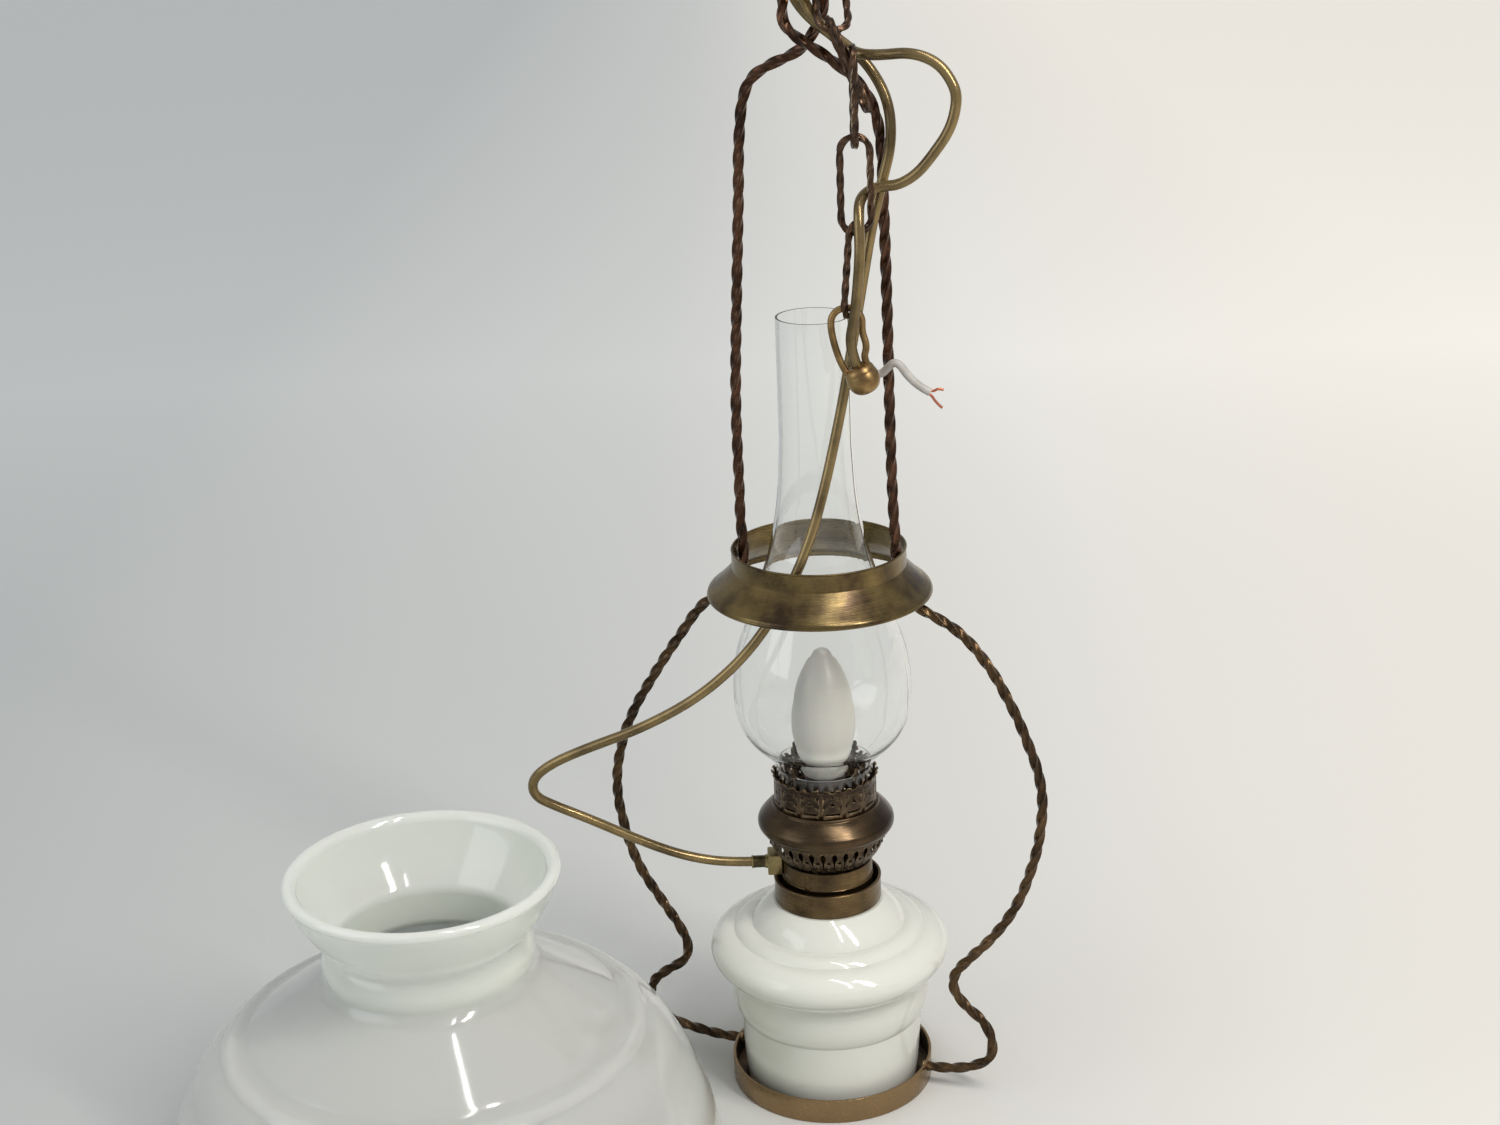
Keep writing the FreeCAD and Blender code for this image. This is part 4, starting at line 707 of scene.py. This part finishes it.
pierced_brass = bronze("pierced_brass", (0.062, 0.042, 0.028), (0.022, 0.016, 0.013), (0.135, 0.095, 0.055), 90, 0.3)
LOW_REPEATS = 32
low_width = math.tau * 31 / LOW_REPEATS
keyhole = [(-0.4, 2.7), (0.4, 2.7), (0.42, 9.4), (0.75, 10.6), (1.4, 11.9), (1.6, 13.4), (1.25, 15.0), (0, 16.5),
           (-1.25, 15.0), (-1.6, 13.4), (-1.4, 11.9), (-0.75, 10.6), (-0.42, 9.4)]
keyhole = [(across + low_width * 0.25, up) for across, up in keyhole]


def dot(across, up, radius):
    """Outline of a round opening."""
    return [(across + radius * math.cos(turn), up + radius * math.sin(turn))
            for turn in (math.tau * step / 16 for step in range(16))]


foot = [(low_width * 0.6, 0), (low_width * 0.64, 1.0), (low_width * 0.75, 1.7), (low_width * 0.86, 1.0),
        (low_width * 0.9, 0)]
pierced("lower_pierced_gallery", LOW_REPEATS, [
    (0, 17.6), (0, 0), *foot, (low_width, 0), (low_width, 17.6),
], [keyhole, dot(low_width * 0.75, 9.8, 1.0), dot(low_width * 0.75, 4.6, 0.6)], [
    (0, 25.9, 139.0), (3, 27.6, 140.9), (6, 29.4, 143.3), (9, 30.8, 146.0), (12, 31.9, 149.0), (15, 32.6, 151.9),
    (17.6, 32.9, 154.6),
], "lamp", pierced_brass, "aged_brass", "lower_gallery")

# Burner dome: spun over the lower gallery, with two fine beads at its foot, a rounded
# shoulder and a step that the upper gallery stands on.
add_piece("spun_dome", spun("spun_dome", 150, [
    (32.6, 4.2), (33.4, 4.0), (34.1, 4.5, 34.2, 5.1), (34.7, 5.3, 35.2, 5.6), (35.9, 5.9, 36.0, 6.6), (36.5, 6.9),
    (37.6, 8.6, 37.8, 10.4), (37.3, 12.6, 36.2, 14.2), (33.2, 17.6, 30.4, 20.0), (29.7, 20.6, 29.6, 21.4), (29.3, 21.9),
    (27.7, 22), (27.7, 20.9), (33.0, 16.2, 35.8, 12.4), (36.9, 10.4), (35.4, 7.2, 32.6, 5.0),
], 0.12), "lamp", dark_spun, "aged_brass", "burner_dome")

# Upper gallery and crown: a straight punched band with leaf holes, slits at its foot and
# small tongues bent out at its rim, and inside it the spring crown that grips the chimney.
HIGH_REPEATS = 14
high_width = math.tau * 28.4 / HIGH_REPEATS
slit = [(high_width * 0.2, 2.4), (high_width * 0.8, 2.4), (high_width * 0.83, 2.9), (high_width * 0.8, 3.4),
        (high_width * 0.2, 3.4), (high_width * 0.17, 2.9)]
tongues = [(high_width * place, up) for place, up in (
    (1, 15.6), (0.9, 15.7), (0.86, 18.0), (0.64, 18.5), (0.6, 15.7), (0.4, 15.7), (0.36, 18.3), (0.14, 17.9),
    (0.1, 15.7))]
pierced("upper_pierced_gallery", HIGH_REPEATS, [
    (0, 15.6), (0, 0), (high_width, 0), *tongues,
], [
    lobes(high_width * 0.5, 9.0, 1.15, 0.55, 3, math.pi / 2), lobes(high_width * 0.16, 12.2, 0.75, 0.3, 4, 0),
    lobes(high_width * 0.84, 12.2, 0.75, 0.3, 4, 0), dot(high_width * 0.5, 13.0, 0.55),
    lobes(high_width * 0.14, 6.9, 0.65, 0.3, 3, -math.pi / 2),
    lobes(high_width * 0.86, 6.9, 0.65, 0.3, 3, -math.pi / 2), slit,
], [
    (0, 28.4, 171.9), (4, 28.3, 175.9), (15, 28.3, 186.9), (16.6, 28.7, 188.4), (18.6, 29.8, 189.6),
], "lamp", pierced_brass, "aged_brass", "chimney_gallery")
CROWN_REPEATS = 4
crown_width = math.tau * 24 / CROWN_REPEATS
leaf = [(crown_width / 2 + across, up) for across, up in lobes(0, 24.0, 2.7, 1.15, 3, math.pi / 2)]
lowest = min(range(len(leaf)), key=lambda place: leaf[place][1] + abs(leaf[place][0] - crown_width / 2) * 3)
leaf = leaf[lowest + 2:] + leaf[:lowest - 1]
prongs = []
for place in (0.05, 0.25):
    prongs += [(crown_width * place, 8), (crown_width * (place + 0.02), 15), (crown_width * (place + 0.05), 17.2),
               (crown_width * (place + 0.09), 15.4), (crown_width * (place + 0.12), 8)]
prongs_right = [(crown_width - across, up) for across, up in reversed(prongs)]
pierced("spring_crown", CROWN_REPEATS, [
    (0, 8), (0, 0), (crown_width, 0), (crown_width, 8), *reversed(prongs_right), (crown_width / 2 + 3.6, 8),
    (crown_width / 2 + 2.0, 13), (crown_width / 2 + 1.0, 20.6), *leaf, (crown_width / 2 - 1.0, 20.6),
    (crown_width / 2 - 2.0, 13), (crown_width / 2 - 3.6, 8), *reversed(prongs),
], [], [
    (0, 24, 170.9), (8, 24, 178.9), (15.4, 23.6, 186.2), (22, 24.0, 192.8), (29, 24.7, 199.7),
], "lamp", pierced_brass, "aged_brass", "burner_crown", math.radians(17))

# Lamp holder, its stem and its contact: a dark moulded shell on a brass tube, out of sight
# but for its rim; the bulb is a frosted candle with a nickelled screw cap.
shell, tree, shader = new_finish("dark_shell")
tree.links.new(dull(tree, (0.055, 0.045, 0.038), (0.025, 0.02, 0.018), 0.6, 80), shader.inputs["Base Color"])
settle(shader, Roughness=0.42)
relief(tree, shader, speckle(tree, 600, 2), 0.1, 0.0002)
dress(shell, "lampholder")
dress(polished, "lampholder_stem", "center_contact")
nickel, tree, shader = new_finish("nickel_plate")
tree.links.new(dull(tree, (0.62, 0.60, 0.56), (0.38, 0.36, 0.32), 0.6, 300), shader.inputs["Base Color"])
settle(shader, Metallic=1, Roughness=0.25)
dress(nickel, "bulb_cap", "bulb_tip")
frosted, tree, shader = new_finish("frosted_glass")
place = put(tree, "SeparateXYZ", {"Vector": put(tree, "TexCoord").outputs["Object"]})
# The bulb's colour is made darker towards its top, by height alone.
ramped_tone = ramp(tree, spread(tree, place.outputs["Z"], 0, 1, 0.187, 0.262), (0, (0.66, 0.65, 0.60)),
              (0.2, (0.62, 0.61, 0.56)), (0.27, (0.48, 0.465, 0.425)), (0.75, (0.41, 0.40, 0.36)),
              (1, (0.34, 0.33, 0.30)))
tree.links.new(ramped_tone, shader.inputs["Base Color"])
settle(shader, Roughness=0.38, Subsurface_Weight=0.15, Subsurface_Scale=0.003, Coat_Weight=0.25, Coat_Roughness=0.2)
relief(tree, shader, speckle(tree, 900, 2), 0.12, 0.0001)
add_piece("candle_bulb", spun("candle_bulb", 187.3, [
    (0, 0), (6.4, 0), (9.5, 0.8, 11.6, 3.4), (14.2, 9.5, 15.4, 16), (17.5, 30, 16.2, 43), (12.5, 58, 5.2, 70.5),
    (3.2, 73.2, 0, 74), (0, 73), (2.4, 72.2, 4.4, 70), (11.7, 57, 15.4, 43), (16.7, 30, 14.6, 16), (13.4, 10, 10.9, 4),
    (9, 1.7, 6.2, 0.9), (0, 0.9),
], 0, 96), "bulb", frosted, "pearl_glass", "bulb_glass")

# Chimney: a clear blown tube, 274 mm high, with a bulge round the bulb and a long neck. It
# stands on the upper gallery, gripped by the crown; its glass is faintly green.
clear, tree, shader = new_finish("clear_glass")
settle(shader, Base_Color=(0.985, 0.995, 0.99, 1), Transmission_Weight=1, IOR=1.46)
tree.links.new(spread(tree, speckle(tree, 12), 0, 0.012), shader.inputs["Roughness"])
relief(tree, shader, speckle(tree, 9, 2), 0.1, 0.0015)
dress(clear, "chimney")
nodes["chimney"].visible_shadow = False

# Shade: a cone of blown opal glass, 300 mm across, with a soft shoulder, a beaded neck and a
# flared mouth. It stands loose on the floor beside the lamp.
shade_glass = milk_glass("green_white_milk_glass", (0.665, 0.70, 0.63), (0.635, 0.67, 0.60), 7, 0.9)
shade_mesh = spun("blown_shade", 0, [
    (146.6, 0), (148.6, 0), (150, 2), (150, 5.5), (141.8, 43.0, 129, 70.1), (121.5, 81.8, 112, 90.0),
    (108.5, 93.3, 104.5, 94.2), (100.5, 95.2, 96, 98.1), (75, 112.4), (60, 122.6), (56.2, 125.4, 54.0, 129.2),
    (55.2, 138.2, 52.6, 145.2), (52.4, 147.6, 53.4, 149.6), (63.6, 162.4, 70.2, 178.0), (70.9, 182.6, 67.6, 183.2),
    (65.2, 181.4, 64.2, 178.2), (57.2, 162.0, 49.6, 150.4), (47.8, 147.2, 47.6, 143), (47.6, 130),
    (48.4, 126.0, 51.5, 123.8), (58.1, 119.4), (73.1, 109.3), (94.1, 94.9), (98.9, 91.6, 103.7, 90.4),
    (107.4, 89.6, 109.8, 87.2), (118.9, 79.4, 126.1, 68.2), (138.4, 41.2, 146.6, 5.5),
], 0, 192, softened=2)
shade_mesh.transform(Matrix.Translation(seen(-212, 90, 0)))
add_piece("blown_shade", shade_mesh, "shade", shade_glass, "milk_glass", "glass_shade")
